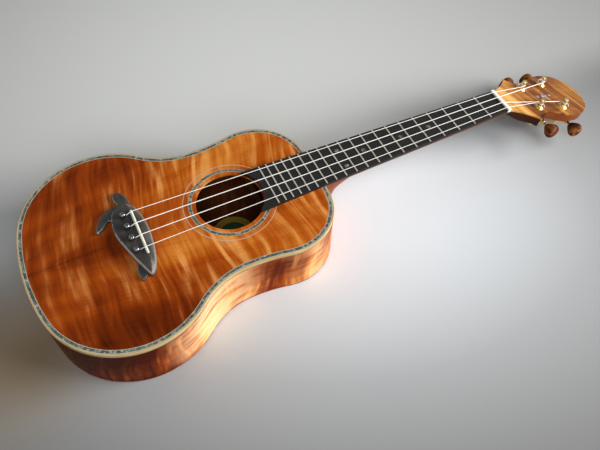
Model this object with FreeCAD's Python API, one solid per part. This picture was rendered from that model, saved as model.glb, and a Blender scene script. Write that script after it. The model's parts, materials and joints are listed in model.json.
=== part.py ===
import FreeCAD, Part
import math
import os

# Tenor ukulele. Millimetres, +Z up out of the soundboard, +X towards the head, +Y to the bass side.
# The origin lies on the flat back, on the centreline, midway between tail and heel.

Vec = FreeCAD.Vector
Y_AXIS = Vec(0, 1, 0)

# ---- Scale and frets -------------------------------------------------------------------------
SCALE_LENGTH = 432.0          # nut to the uncompensated bridge line
COMPENSATION = 2.8            # the saddle stands this much further back
FRET_COUNT = 20
BODY_FRET = 14                # fret at which the neck meets the body
BODY_FRET_SETBACK = 1.5       # that fret lies this far on the neck side of the body

# ---- Body outline: tangent arcs, given for half of a symmetric shape --------------------------
BODY_LENGTH = 309.0
BODY_DEPTH = 64.0
LOWER_BOUT_WIDTH = 238.2
LOWER_BOUT_FROM_TAIL = 89.8
TAIL_RADIUS = 223.0
UPPER_BOUT_WIDTH = 170.6
UPPER_BOUT_FROM_FRONT = 56.5  # also the radius of the upper bout, which runs into a flat front
WAIST_INSET = 5.9             # how far the waist lies inside the upper bout
WAIST_FROM_FRONT = 111.3

# ---- Body plates and trim ---------------------------------------------------------------------
TOP_THICKNESS = 2.2
BACK_THICKNESS = 2.2
SIDE_THICKNESS = 1.6          # the binding is as wide as the side is thick
BINDING_HEIGHT = 3.8
BINDING_ROUND = 0.8
SIDE_LINE_HEIGHT = 0.7
BACK_ROUND = 1.0
PURFLING_SHELL_WIDTH = 2.8
PURFLING_LINE_WIDTH = 0.6
INLAY_DEPTH = 1.2
LINING_WIDTH = 5.0
LINING_HEIGHT = 12.0
NECK_BLOCK_LENGTH = 24.0
NECK_BLOCK_WIDTH = 60.0
TAIL_BLOCK_LENGTH = 14.0
TAIL_BLOCK_WIDTH = 50.0
END_STRIP_WIDTH = 12.0
BRACE_WIDTH = 6.0
BRACE_HEIGHT = 8.0
BRACE_END_GAP = 0.5           # braces stop this far short of the linings
FAN_BRACE_WIDTH = 4.0
FAN_BRACE_HEIGHT = 5.0
FAN_BRACE_LENGTH = 95.0
FAN_BRACE_PITCH = 46.0
FAN_BRACE_SPLAY = 9.0         # degrees
LABEL_RADIUS = 24.0
LABEL_THICKNESS = 0.3

# ---- Sound hole and rosette -------------------------------------------------------------------
HOLE_FROM_FRONT = 98.4        # centre of the sound hole
HOLE_RADIUS = 35.0
ROSETTE_RADIUS = 41.0         # middle of the shell ring
ROSETTE_SHELL_WIDTH = 2.6
ROSETTE_LINE_WIDTH = 0.5
OUTER_RING_RADIUS = 48.1
OUTER_RING_WIDTH = 0.8

# ---- Neck and fretboard -----------------------------------------------------------------------
NECK_ANGLE = 0.716            # degrees that the neck leans back from the soundboard
BOARD_THICKNESS = 3.1
BOARD_NUT_WIDTH = 34.0
BOARD_BODY_WIDTH = 49.2       # at the body fret
BOARD_END_PAST_FRET = 20.0    # length behind the last fret, before the round end is cut
BOARD_HOLE_MARGIN = 0.5       # the round end stands this far outside the sound hole's edge
FRET_HEIGHT = 0.9
FRET_WIDTH = 1.5
FRET_TANG_WIDTH = 0.6
FRET_TANG_DEPTH = 1.4
FRET_END_MARGIN = 0.4
DOT_RADIUS = 2.5
DOT_DEPTH = 1.0
DOT_FRETS = (5, 7, 10)
DOUBLE_DOT_FRET = 12
NECK_NUT_INSET = 1.0          # the neck is this much narrower than the board on each side
NECK_BODY_INSET = 1.4
NECK_DEPTH_NUT = 13.0
NECK_DEPTH_BODY = 15.0
NUT_LENGTH = 4.8
NUT_WIDTH = 35.0
NUT_DROP = 0.9                # the top of the nut falls this much towards the head
HEEL_CAP_THICKNESS = 2.2
# Heel sections from top to bottom: height as a share of the depth, half width, reach from the body.
HEEL_SECTIONS = ((0.97, 23.4, 75.0), (0.85, 22.3, 58.0), (0.72, 20.3, 41.0), (0.42, 15.5, 25.0),
                 (0.0, 12.0, 15.0))
ROUND_FULLNESS = 0.5523       # makes each quarter of a neck section an ellipse
SQUARE_FULLNESS = 1.0         # makes each quarter nearly a corner
BOLT_RADIUS = 2.5
BOLT_HEAD_RADIUS = 4.6
BOLT_HEAD_HEIGHT = 3.0
BOLT_HEIGHTS = (18.0, 42.0)   # above the back
INSERT_RADIUS = 4.0
INSERT_LENGTH = 10.0
BOLT_END_GAP = 1.0            # bolts end this far short of the inserts' ends

# ---- Head: distance from the nut along the face, and half width there -------------------------
HEAD_ANGLE = 16.0             # degrees that the head leans back from the neck
HEAD_PLATE_THICKNESS = 1.6
HEAD_CORE_THICKNESS = 9.4
HEAD_BLEND_LENGTH = 30.0      # over which the round neck turns into the flat head
HEAD_BLEND_SPREAD = 1.6       # the blend is this much wider than the head before it is trimmed
HEAD_LENGTH = 137.5
HEAD_FLARE = ((0.0, 17.5), (10.0, 21.2), (20.0, 26.4), (28.0, 31.8), (33.0, 37.3))
HEAD_EDGE = ((33.0, 37.3), (38.0, 31.0), (45.0, 27.8), (53.0, 26.8), (75.0, 33.6), (97.0, 36.7),
             (116.0, 33.0), (130.0, 22.0))
HEAD_INLAY_CENTRE = 73.0
HEAD_INLAY_LENGTH = 21.0
HEAD_INLAY_WIDTH = 9.0
HEAD_INLAY_DISC_RADIUS = 2.0
HEAD_INLAY_DEPTH = 0.8

# ---- Bridge: outlines from the middle of the saddle, forwards and to the bass side ------------
BRIDGE_EDGE_HEIGHT = 3.6
BRIDGE_HEIGHT = 7.6
BRIDGE_BEVEL = 2.4
BRIDGE_BODY = ((2.4, 36.0), (7.2, 24.3), (10.0, 9.0), (9.9, -6.0), (8.1, -22.0), (4.4, -37.5), (-0.6, -48.3),
               (-5.0, -50.2), (-9.4, -39.5), (-14.0, -27.0), (-18.5, -12.0), (-22.4, 3.5), (-22.4, 17.5),
               (-18.5, 31.0), (-9.0, 38.5))
FLUKE_HEIGHT = 4.0
FLUKE_UPPER = ((1.0, 30.0), (2.0, 40.0), (0.6, 49.0), (-2.6, 55.0), (-7.0, 57.8), (-11.2, 55.0),
               (-11.8, 49.0), (-10.3, 41.0))
FLUKE_LOWER = ((-10.3, 41.0), (-19.9, 40.2), (-25.5, 37.6), (-30.6, 33.4), (-35.7, 25.0), (-38.4, 16.0))
FLUKE_INNER = ((-38.4, 16.0), (-31.0, 19.6), (-23.5, 26.2))
FLUKE_ROOT = ((-17.0, 19.0), (-5.0, 24.0))
FIN_HEIGHT = 3.2
FIN_OUTER = ((-11.5, -28.0), (-14.7, -37.0), (-15.1, -45.0), (-13.3, -52.2))
FIN_INNER = ((-13.3, -52.2), (-9.5, -50.0), (-6.5, -46.0))
FIN_ROOT = ((-4.0, -38.0),)
SADDLE_LENGTH = 54.0
SADDLE_OFFSET = -2.0          # its middle lies this far to the treble side
SADDLE_WIDTH = 2.8
SADDLE_SLOT_DEPTH = 4.2
SADDLE_CROWN_HEIGHT = 10.1    # above the soundboard
PIN_SETBACK = 9.1             # pins stand this far behind the saddle
PIN_PITCH = 14.7
PIN_RADIUS = 2.4
PIN_HOLE_CLEARANCE = 0.1
PIN_END_GAP = 0.4             # the shank ends this far above the bridge plate's underside
PIN_NECK_HEIGHT = 0.9
PIN_NECK_OVERLAP = 0.1        # the shank runs this far into the head
PIN_HEAD_RADIUS = 3.6
PIN_HEAD_RISE = 2.6           # centre of the round head above the bridge
BRIDGE_PLATE_LENGTH = 34.0
BRIDGE_PLATE_WIDTH = 84.0
BRIDGE_PLATE_THICKNESS = 2.5

# ---- Strings, from the bass side to the treble side -------------------------------------------
STRING_NAMES = ("g", "c", "e", "a")
STRING_RADII = (0.36, 0.46, 0.42, 0.34)
SADDLE_PITCH = 15.15
NUT_PITCH = 9.0
STRING_OVER_FRETS = 0.45      # clearance over the fret tops at the nut
STRING_SLOT_CLEARANCE = 0.06
KNOT_RADIUS = 1.8

# ---- Tuners: post centres on the head face, and the gear case behind it -----------------------
NEAR_POST = (47.0, 17.3)      # distance from the nut, distance from the centreline
FAR_POST = (86.5, 21.2)
POST_RADIUS = 3.0
POST_WAIST_RADIUS = 2.3
POST_HEIGHT = 11.5            # above the head face
POST_TIP_TAPER = 0.8          # the post's tip narrows by this much
POST_TIP_HEIGHT = 1.8
POST_HOLE_RADIUS = 0.9
POST_HOLE_DROP = 0.3          # below the middle of the post's upper part
WINDING_HEIGHT = 5.2          # lowest string turn above the head face
WINDING_TURNS = 3
WINDING_CLEARANCE = 0.05
STRING_END_CLEARANCE = 0.25   # between a string's end and the turns on the post
RUN_CLEARANCE = 0.05          # between a turning shaft and its bearing
BUSHING_RADIUS = 4.2
BUSHING_LENGTH = 7.0
WASHER_RADIUS = 6.2
WASHER_THICKNESS = 0.6
HEX_ACROSS_FLATS = 9.6
HEX_HEIGHT = 1.8
HEX_DOME_FOOT = 1.2           # radii of the cone that rounds off the hexagon, as shares of its corners
HEX_DOME_TOP = 0.8
CASE_HEIGHT = 9.0
CASE_WALL = 1.2
CASE_FLOAT = 0.1              # end clearance of the gear parts inside the case
WHEEL_ROOM = 0.5              # between the wheel's rim and the case
WORM_OFFSET = 10.5            # from the post towards the head's end
WORM_RADIUS = 3.3
WORM_LENGTH = 9.0
WORM_GROOVE_COUNT = 4
WORM_GROOVE_DEPTH = 0.5
WHEEL_THICKNESS = 3.8
WHEEL_TEETH = 16
WHEEL_GAP_RADIUS = 0.8
WHEEL_GAP_OFFSET = 0.2        # centre of a tooth gap outside the wheel's rim
GEAR_CLEARANCE = 0.3
SHAFT_RADIUS = 2.0
BOSS_RADIUS = 3.1
BOSS_LENGTH = 3.6
EAR_LENGTH = 6.0
EAR_WIDTH = 6.4
EAR_THICKNESS = 1.6
SCREW_RADIUS = 1.0
SCREW_LENGTH = 6.0
SCREW_HEAD_RADIUS = 2.0
SCREW_HEAD_HEIGHT = 1.1
BUTTON_FROM_POST = 25.0       # middle of the button
BUTTON_LENGTH = 13.5
BUTTON_RADIUS = 8.5
BUTTON_NECK_RADIUS = 4.2
BUTTON_PROFILE = ((0.25, 0.76), (0.55, 1.0), (0.85, 0.97), (1.0, 0.72))   # shares of length and radius
BUTTON_BORE_DEPTH = 8.0

# ---- Places worked out from the sizes above ---------------------------------------------------
TAIL_X = -BODY_LENGTH / 2
FRONT_X = BODY_LENGTH / 2
HOLE_X = FRONT_X - HOLE_FROM_FRONT
TOP_INSIDE = BODY_DEPTH - TOP_THICKNESS
BRIDGE_PLATE_LOW = TOP_INSIDE - BRIDGE_PLATE_THICKNESS
FRET_TOP = BOARD_THICKNESS + FRET_HEIGHT
PURFLING_WIDTH = PURFLING_SHELL_WIDTH + 2 * PURFLING_LINE_WIDTH
LINING_INSIDE = SIDE_THICKNESS + LINING_WIDTH
WINDING_LEVEL = HEAD_PLATE_THICKNESS + WINDING_HEIGHT
CASE_TOP = -HEAD_CORE_THICKNESS
WORM_DROP = CASE_TOP - CASE_HEIGHT / 2
CASE_FRONT = WORM_OFFSET + WORM_RADIUS + CASE_FLOAT + CASE_WALL
WHEEL_RADIUS = WORM_OFFSET - WORM_RADIUS - GEAR_CLEARANCE
CASE_REACH = WHEEL_RADIUS + WHEEL_ROOM + CASE_WALL    # from the post to the case's back and sides
FAR = 500.0                   # a length past the whole instrument, for cutting tools
OVERCUT = 1.0                 # cutting tools run this far past what they cut


def fret_distance(number):
    """Distance from the nut to a fret, in equal steps of the octave."""
    return SCALE_LENGTH * (1 - 2 ** (-number / 12))


NUT_X = fret_distance(BODY_FRET) + BODY_FRET_SETBACK        # in the neck's frame
BOARD_TAPER = (BOARD_BODY_WIDTH - BOARD_NUT_WIDTH) / 2 / fret_distance(BODY_FRET)

# The neck's frame starts on the soundboard plane where the neck meets the body, and the neck's flat
# top is its plane z = 0. The head's frame starts behind the nut, and its plane z = 0 lies under the
# head plate.
NECK_FRAME = FreeCAD.Placement(Vec(FRONT_X, 0, BODY_DEPTH), FreeCAD.Rotation(Y_AXIS, NECK_ANGLE))
HEAD_IN_NECK = FreeCAD.Placement(Vec(NUT_X + NUT_LENGTH, 0, 0), FreeCAD.Rotation(Y_AXIS, HEAD_ANGLE))
HEAD_FRAME = NECK_FRAME.multiply(HEAD_IN_NECK)
SADDLE_X = NECK_FRAME.multVec(Vec(NUT_X - SCALE_LENGTH - COMPENSATION, 0, FRET_TOP)).x
PIN_X = SADDLE_X - PIN_SETBACK
BRIDGE_TOP = BODY_DEPTH + BRIDGE_HEIGHT


# ---- Small helpers ----------------------------------------------------------------------------
def placed(shape, frame):
    """A copy of the shape, moved from a local frame into the instrument's frame."""
    copy = shape.copy()
    copy.Placement = frame.multiply(copy.Placement)
    return copy


def block(x0, x1, y0, y1, z0, z1):
    """A box between two corners."""
    return Part.makeBox(x1 - x0, y1 - y0, z1 - z0, Vec(x0, y0, z0))


def rod(radius, start, end):
    """A cylinder between two points."""
    return Part.makeCylinder(radius, (end - start).Length, start, end - start)


def upright(radius, x, y, z0, z1):
    """A cylinder that stands on a point of a flat plane."""
    return Part.makeCylinder(radius, z1 - z0, Vec(x, y, z0))


def tube(outer, inner, x, y, z0, z1):
    """An upright hollow cylinder."""
    return upright(outer, x, y, z0, z1).cut(upright(inner, x, y, z0, z1))


def prism(edges, z0, z1):
    """A closed loop of edges at z = 0, made solid between two heights."""
    face = Part.Face(Part.Wire(Part.sortEdges(edges)[0]))
    face.translate(Vec(0, 0, z0))
    return face.extrude(Vec(0, 0, z1 - z0))


def polygon_prism(points, z0, z1):
    """A flat polygon made solid between two heights."""
    corners = [Vec(x, y, 0) for x, y in points]
    face = Part.Face(Part.makePolygon(corners + corners[:1]))
    face.translate(Vec(0, 0, z0))
    return face.extrude(Vec(0, 0, z1 - z0))


def spline(points, **options):
    """A smooth edge through points in the plane z = 0."""
    curve = Part.BSplineCurve()
    curve.interpolate([Vec(x, y, 0) for x, y in points], **options)
    return curve.toShape()


def lines(points):
    """Straight edges through points in the plane z = 0."""
    corners = [Vec(x, y, 0) for x, y in points]
    return [Part.makeLine(a, b) for a, b in zip(corners, corners[1:])]


def group(solids):
    """Separate solids kept together in one node."""
    return Part.makeCompound(solids)


def fused(solids):
    """Several solids joined into one."""
    return solids[0].multiFuse(solids[1:]).removeSplitter()


# ---- Body outline -----------------------------------------------------------------------------
def unit(start, end):
    """The direction from one point to another, as a unit vector."""
    step = end - start
    return step / step.Length


def half_outline_arcs():
    """Arcs of the bass half from tail to front: centre, radius, start and end direction, side.

    The side is 1 where the arc bulges outwards and -1 at the waist, where it bulges inwards.
    """
    lower = LOWER_BOUT_WIDTH / 2
    upper = UPPER_BOUT_WIDTH / 2
    waist = upper - WAIST_INSET
    k = LOWER_BOUT_FROM_TAIL
    lower_radius = (2 * k * TAIL_RADIUS - k * k - lower * lower) / (2 * (TAIL_RADIUS - lower))
    upper_radius = UPPER_BOUT_FROM_FRONT
    waist_x = FRONT_X - WAIST_FROM_FRONT
    lower_x = TAIL_X + LOWER_BOUT_FROM_TAIL
    upper_x = FRONT_X - UPPER_BOUT_FROM_FRONT

    def waist_radius(bout_x, bout_half, bout_radius):
        dx = waist_x - bout_x
        dy = bout_half - waist
        return (dx * dx + dy * dy) / (2 * dy) - bout_radius

    rear_radius = waist_radius(lower_x, lower, lower_radius)
    fore_radius = waist_radius(upper_x, upper, upper_radius)
    tail_centre = Vec(TAIL_X + TAIL_RADIUS, 0, 0)
    lower_centre = Vec(lower_x, lower - lower_radius, 0)
    rear_centre = Vec(waist_x, waist + rear_radius, 0)
    fore_centre = Vec(waist_x, waist + fore_radius, 0)
    upper_centre = Vec(upper_x, upper - upper_radius, 0)
    tail_to_lower = unit(tail_centre, lower_centre)
    lower_to_rear = unit(lower_centre, rear_centre)
    upper_to_fore = unit(upper_centre, fore_centre)
    return (
        (tail_centre, TAIL_RADIUS, Vec(-1, 0, 0), tail_to_lower, 1),
        (lower_centre, lower_radius, tail_to_lower, lower_to_rear, 1),
        (rear_centre, rear_radius, -lower_to_rear, Vec(0, -1, 0), -1),
        (fore_centre, fore_radius, Vec(0, -1, 0), -upper_to_fore, -1),
        (upper_centre, upper_radius, upper_to_fore, Vec(1, 0, 0), 1),
    )


def outline_edges(inset):
    """The closed body outline at z = 0, moved inwards by the inset."""
    edges = []
    for mirror in (1, -1):
        end = None
        for centre, radius, start_dir, end_dir, side in half_outline_arcs():
            reach = radius - side * inset
            middle_dir = (start_dir + end_dir).normalize()
            points = [centre + d * reach for d in (start_dir, middle_dir, end_dir)]
            points = [Vec(p.x, mirror * p.y, 0) for p in points]
            edges.append(Part.Arc(*points).toShape())
            end = points[-1]
        edges.append(Part.makeLine(end, Vec(end.x, 0, 0)))
    return edges


def plate(inset, z0, z1):
    """A flat plate of the body's outline, inset all round."""
    return prism(outline_edges(inset), z0, z1)


def ring(outer_inset, inner_inset, z0, z1):
    """A band that follows the body's outline between two insets."""
    return plate(outer_inset, z0, z1).cut(plate(inner_inset, z0, z1))


# ---- Body shell -------------------------------------------------------------------------------
def make_back_plate():
    """The flat back, which the sides stand on, with its lower edge rounded."""
    back = plate(0, 0, BACK_THICKNESS)
    rim = [e for e in back.Edges if abs(e.BoundBox.ZMax) < 1e-6]
    return back.makeFillet(BACK_ROUND, rim)


def bolt_holes(radius):
    """Cutting tool for the two neck bolts, through block, sides and heel."""
    start = FRONT_X - SIDE_THICKNESS - NECK_BLOCK_LENGTH - OVERCUT
    end = FRONT_X + INSERT_LENGTH
    return group([rod(radius, Vec(start, 0, z), Vec(end, 0, z)) for z in BOLT_HEIGHTS])


def make_sides():
    """The bass and treble sides, which meet under the heel and at the end strip."""
    top = BODY_DEPTH - BINDING_HEIGHT - SIDE_LINE_HEIGHT
    band = ring(0, SIDE_THICKNESS, BACK_THICKNESS, top)
    strip = block(TAIL_X - OVERCUT, 0, -END_STRIP_WIDTH / 2, END_STRIP_WIDTH / 2, 0, BODY_DEPTH)
    band = band.cut(strip).cut(bolt_holes(BOLT_RADIUS + RUN_CLEARANCE))
    bass = band.common(block(-FAR, FAR, 0, FAR, 0, BODY_DEPTH))
    treble = band.common(block(-FAR, FAR, -FAR, 0, 0, BODY_DEPTH))
    return bass, treble


def make_end_strip():
    """The strip that covers the joint of the sides at the tail."""
    top = BODY_DEPTH - BINDING_HEIGHT - SIDE_LINE_HEIGHT
    strip = block(TAIL_X - OVERCUT, 0, -END_STRIP_WIDTH / 2, END_STRIP_WIDTH / 2, 0, BODY_DEPTH)
    return ring(0, SIDE_THICKNESS, BACK_THICKNESS, top).common(strip)


def make_side_line():
    """The thin dark line on the side, under the binding."""
    top = BODY_DEPTH - BINDING_HEIGHT
    return ring(0, SIDE_THICKNESS, top - SIDE_LINE_HEIGHT, top)


def make_top_binding():
    """The cream binding round the top edge, with its outer corner rounded."""
    binding = ring(0, SIDE_THICKNESS, BODY_DEPTH - BINDING_HEIGHT, BODY_DEPTH)
    inner = plate(SIDE_THICKNESS / 2, 0, BODY_DEPTH)
    rim = []
    for edge in binding.Edges:
        at_top = edge.BoundBox.ZMin > BODY_DEPTH - 1e-6
        middle = edge.valueAt((edge.FirstParameter + edge.LastParameter) / 2)
        if at_top and not inner.isInside(middle - Vec(0, 0, 1), 1e-6, True):
            rim.append(edge)
    return binding.makeFillet(BINDING_ROUND, rim)


def purfling_bands():
    """Insets of the purfling's outer line, shell and inner line, from the edge inwards."""
    first = SIDE_THICKNESS
    second = first + PURFLING_LINE_WIDTH
    third = second + PURFLING_SHELL_WIDTH
    return first, second, third, third + PURFLING_LINE_WIDTH


def make_purfling():
    """The shell purfling and the thin lines on both sides of it."""
    first, second, third, fourth = purfling_bands()
    low = BODY_DEPTH - INLAY_DEPTH
    shell = ring(second, third, low, BODY_DEPTH)
    pair = group([ring(first, second, low, BODY_DEPTH), ring(third, fourth, low, BODY_DEPTH)])
    return shell, pair


def rosette_tube(radius, width):
    """A ring let into the soundboard round the sound hole."""
    low = BODY_DEPTH - INLAY_DEPTH
    return tube(radius + width / 2, radius - width / 2, HOLE_X, 0, low, BODY_DEPTH)


def make_rosette():
    """The shell ring, the thin lines beside it, and the white ring further out."""
    shell = rosette_tube(ROSETTE_RADIUS, ROSETTE_SHELL_WIDTH)
    step = (ROSETTE_SHELL_WIDTH + ROSETTE_LINE_WIDTH) / 2
    pair = [rosette_tube(ROSETTE_RADIUS + side * step, ROSETTE_LINE_WIDTH) for side in (-1, 1)]
    outer = rosette_tube(OUTER_RING_RADIUS, OUTER_RING_WIDTH)
    return shell, group(pair), outer


def pin_positions():
    """Where the bridge pins stand, from the bass side to the treble side."""
    return [(PIN_X, (1.5 - n) * PIN_PITCH) for n in range(len(STRING_NAMES))]


def string_drop_x(n):
    """Where a string runs straight down beside its pin."""
    return PIN_X + PIN_RADIUS + PIN_HOLE_CLEARANCE + STRING_RADII[n]


def pin_holes():
    """Cutting tool for the pins and for the strings beside them."""
    tools = []
    for n, (x, y) in enumerate(pin_positions()):
        low = BRIDGE_PLATE_LOW - OVERCUT
        high = BRIDGE_TOP + OVERCUT
        hole = upright(PIN_RADIUS + PIN_HOLE_CLEARANCE, x, y, low, high)
        slot = upright(STRING_RADII[n] + STRING_SLOT_CLEARANCE, string_drop_x(n), y, low, high)
        tools.append(hole.fuse(slot))
    return group(tools)


def make_soundboard():
    """The top, with its sound hole, inlay channels and pin holes."""
    board = plate(SIDE_THICKNESS, TOP_INSIDE, BODY_DEPTH)
    first, second, third, fourth = purfling_bands()
    channel = ring(first, fourth, BODY_DEPTH - INLAY_DEPTH, BODY_DEPTH + OVERCUT)
    hole = upright(HOLE_RADIUS, HOLE_X, 0, TOP_INSIDE - OVERCUT, BODY_DEPTH + OVERCUT)
    rosette = rosette_tube(ROSETTE_RADIUS, ROSETTE_SHELL_WIDTH + 2 * ROSETTE_LINE_WIDTH)
    outer = rosette_tube(OUTER_RING_RADIUS, OUTER_RING_WIDTH)
    return board.cut(channel).cut(hole).cut(rosette).cut(outer).cut(pin_holes())


# ---- Inside the body --------------------------------------------------------------------------
def block_space(x0, x1, width):
    """A block between back and top that fits the inside of the sides."""
    inside = plate(SIDE_THICKNESS, BACK_THICKNESS, TOP_INSIDE)
    return inside.common(block(x0, x1, -width / 2, width / 2, 0, BODY_DEPTH))


def neck_block_solid():
    """The neck block before it is drilled."""
    front = FRONT_X - SIDE_THICKNESS
    return block_space(front - NECK_BLOCK_LENGTH, front + OVERCUT, NECK_BLOCK_WIDTH)


def make_neck_block():
    """The block that the neck is bolted to."""
    return neck_block_solid().cut(bolt_holes(BOLT_RADIUS + RUN_CLEARANCE))


def make_tail_block():
    """The block behind the end strip."""
    return block_space(TAIL_X, TAIL_X + SIDE_THICKNESS + TAIL_BLOCK_LENGTH, TAIL_BLOCK_WIDTH)


def make_linings():
    """The bands that glue the top and back to the sides, cut where the blocks stand."""
    blocks = group([neck_block_solid(), make_tail_block()])
    upper = ring(SIDE_THICKNESS, LINING_INSIDE, TOP_INSIDE - LINING_HEIGHT, TOP_INSIDE).cut(blocks)
    lower = ring(SIDE_THICKNESS, LINING_INSIDE, BACK_THICKNESS, BACK_THICKNESS + LINING_HEIGHT).cut(blocks)
    return upper, lower


def cross_bar(x, z0, z1):
    """A brace across the body, ending just inside the linings."""
    inside = plate(LINING_INSIDE + BRACE_END_GAP, z0, z1)
    return inside.common(block(x - BRACE_WIDTH / 2, x + BRACE_WIDTH / 2, -FAR, FAR, 0, BODY_DEPTH))


def make_transverse_braces():
    """Two braces across the top, on each side of the rosette."""
    reach = OUTER_RING_RADIUS + BRACE_WIDTH
    fore = min(HOLE_X + reach, FRONT_X - SIDE_THICKNESS - NECK_BLOCK_LENGTH - BRACE_WIDTH)
    return group([cross_bar(x, TOP_INSIDE - BRACE_HEIGHT, TOP_INSIDE) for x in (HOLE_X - reach, fore)])


def bridge_plate_box(margin):
    """The bridge plate's place, with a margin all round."""
    middle = PIN_X + PIN_SETBACK / 2
    half = BRIDGE_PLATE_LENGTH / 2 + margin
    width = BRIDGE_PLATE_WIDTH / 2 + margin
    return block(middle - half, middle + half, -width, width, BRIDGE_PLATE_LOW, TOP_INSIDE)


def make_bridge_plate():
    """The hard plate under the bridge that holds the string knots."""
    return bridge_plate_box(0).cut(pin_holes())


def make_fan_braces():
    """Three thin braces that spread from the sound hole to the tail, with gaps for the bridge plate."""
    front = HOLE_X - OUTER_RING_RADIUS - 2 * BRACE_WIDTH
    inside = plate(LINING_INSIDE + BRACE_END_GAP, 0, BODY_DEPTH)
    plate_gap = bridge_plate_box(BRACE_END_GAP)
    lowered = plate_gap.copy()
    lowered.translate(Vec(0, 0, -BRACE_HEIGHT))
    plate_gap = plate_gap.fuse(lowered)
    bars = []
    for n in (-1, 0, 1):
        bar = block(-FAN_BRACE_LENGTH, 0, -FAN_BRACE_WIDTH / 2, FAN_BRACE_WIDTH / 2,
                    TOP_INSIDE - FAN_BRACE_HEIGHT, TOP_INSIDE)
        bar.rotate(Vec(0, 0, 0), Vec(0, 0, 1), -n * FAN_BRACE_SPLAY)
        bar.translate(Vec(front, n * FAN_BRACE_PITCH / 2, 0))
        bars.append(bar.common(inside).cut(plate_gap))
    return group([solid for bar in bars for solid in bar.Solids])


def make_back_braces():
    """Three braces across the back."""
    top = BACK_THICKNESS + BRACE_HEIGHT
    rear = TAIL_X + LOWER_BOUT_FROM_TAIL
    clear_of_label = LABEL_RADIUS + BRACE_WIDTH
    waist = min(FRONT_X - WAIST_FROM_FRONT, HOLE_X - clear_of_label)
    fore = max(FRONT_X - UPPER_BOUT_FROM_FRONT, HOLE_X + clear_of_label)
    return group([cross_bar(x, BACK_THICKNESS, top) for x in (rear, waist, fore)])


def make_label():
    """A round paper label on the inside of the back, under the sound hole."""
    return upright(LABEL_RADIUS, HOLE_X, 0, BACK_THICKNESS, BACK_THICKNESS + LABEL_THICKNESS)


# ---- Neck -------------------------------------------------------------------------------------
def half_round(centre, across, down, fullness):
    """A flat top line and a rounded underside: two cubic quarters between across, down and back."""
    left = centre - across
    right = centre + across
    low = centre + down
    first = Part.BezierCurve()
    first.setPoles([right, right + down * fullness, low + across * fullness, low])
    second = Part.BezierCurve()
    second.setPoles([low, low - across * fullness, left + down * fullness, left])
    return Part.Wire([Part.makeLine(left, right), first.toShape(), second.toShape()])


def board_half_width(distance):
    """Half the fretboard's width at a distance from the nut."""
    return BOARD_NUT_WIDTH / 2 + BOARD_TAPER * distance


def make_neck_shaft():
    """The round-backed neck from the body to the nut, in the neck's frame."""
    body_half = Vec(0, board_half_width(NUT_X) - NECK_BODY_INSET, 0)
    nut_half = Vec(0, BOARD_NUT_WIDTH / 2 - NECK_NUT_INSET, 0)
    start = half_round(Vec(-FRET_WIDTH, 0, 0), body_half, Vec(0, 0, -NECK_DEPTH_BODY), ROUND_FULLNESS)
    end = half_round(Vec(NUT_X + NUT_LENGTH, 0, 0), nut_half, Vec(0, 0, -NECK_DEPTH_NUT), ROUND_FULLNESS)
    return Part.makeLoft([start, end], True, True)


def make_heel():
    """The heel: rounded sections that shrink from the neck down to the heel cap."""
    height = BODY_DEPTH - HEEL_CAP_THICKNESS
    sections = []
    for share, half_width, reach in HEEL_SECTIONS:
        centre = Vec(FRONT_X, 0, HEEL_CAP_THICKNESS + share * height)
        sections.append(half_round(centre, Vec(0, half_width, 0), Vec(reach, 0, 0), ROUND_FULLNESS))
    return Part.makeLoft(sections, True, False)


def make_heel_cap():
    """The cap under the heel, level with the back."""
    share, half_width, reach = HEEL_SECTIONS[-1]
    wire = half_round(Vec(FRONT_X, 0, 0), Vec(0, half_width, 0), Vec(reach, 0, 0), ROUND_FULLNESS)
    return Part.Face(wire).extrude(Vec(0, 0, HEEL_CAP_THICKNESS))


def head_outline_edges():
    """The closed outline of the head in its own frame, from the nut round the tip and back."""
    treble_flare = [(u, -y) for u, y in reversed(HEAD_FLARE)]
    treble_edge = [(u, -y) for u, y in reversed(HEAD_EDGE)]
    tip = [(HEAD_LENGTH, 0)]
    edges = [spline(HEAD_FLARE), spline(list(HEAD_EDGE) + tip + treble_edge), spline(treble_flare)]
    return edges + lines([treble_flare[-1], HEAD_FLARE[0]])


def make_head_core():
    """The head's core in its own frame, thin at the nut where it grows out of the round neck."""
    core = prism(head_outline_edges(), -HEAD_CORE_THICKNESS, 0)
    flat = core.common(block(HEAD_BLEND_LENGTH, FAR, -FAR, FAR, -FAR, FAR))
    tall = prism(head_outline_edges(), -2 * HEAD_CORE_THICKNESS, 0)
    neck_down = FreeCAD.Rotation(Y_AXIS, -HEAD_ANGLE).multVec(Vec(0, 0, -NECK_DEPTH_NUT))
    nut_half = Vec(0, BOARD_NUT_WIDTH / 2 - NECK_NUT_INSET, 0)
    start = half_round(Vec(0, 0, 0), nut_half, neck_down, ROUND_FULLNESS)
    across = Vec(0, HEAD_FLARE[-1][1] * HEAD_BLEND_SPREAD, 0)
    down = Vec(0, 0, -HEAD_CORE_THICKNESS)
    end = half_round(Vec(HEAD_BLEND_LENGTH, 0, 0), across, down, SQUARE_FULLNESS)
    blend = Part.makeLoft([start, end], True, True).common(tall)
    return blend, flat


def tuner_places():
    """Each tuner's string name, post centre on the head and side of the head."""
    posts = (NEAR_POST, FAR_POST, FAR_POST, NEAR_POST)
    sides = (1, 1, -1, -1)
    return [(name, u, side * y, side) for name, (u, y), side in zip(STRING_NAMES, posts, sides)]


def screw_place(u, y):
    """Where a gear case's screw stands."""
    return u - CASE_REACH - EAR_LENGTH / 2, y


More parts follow.
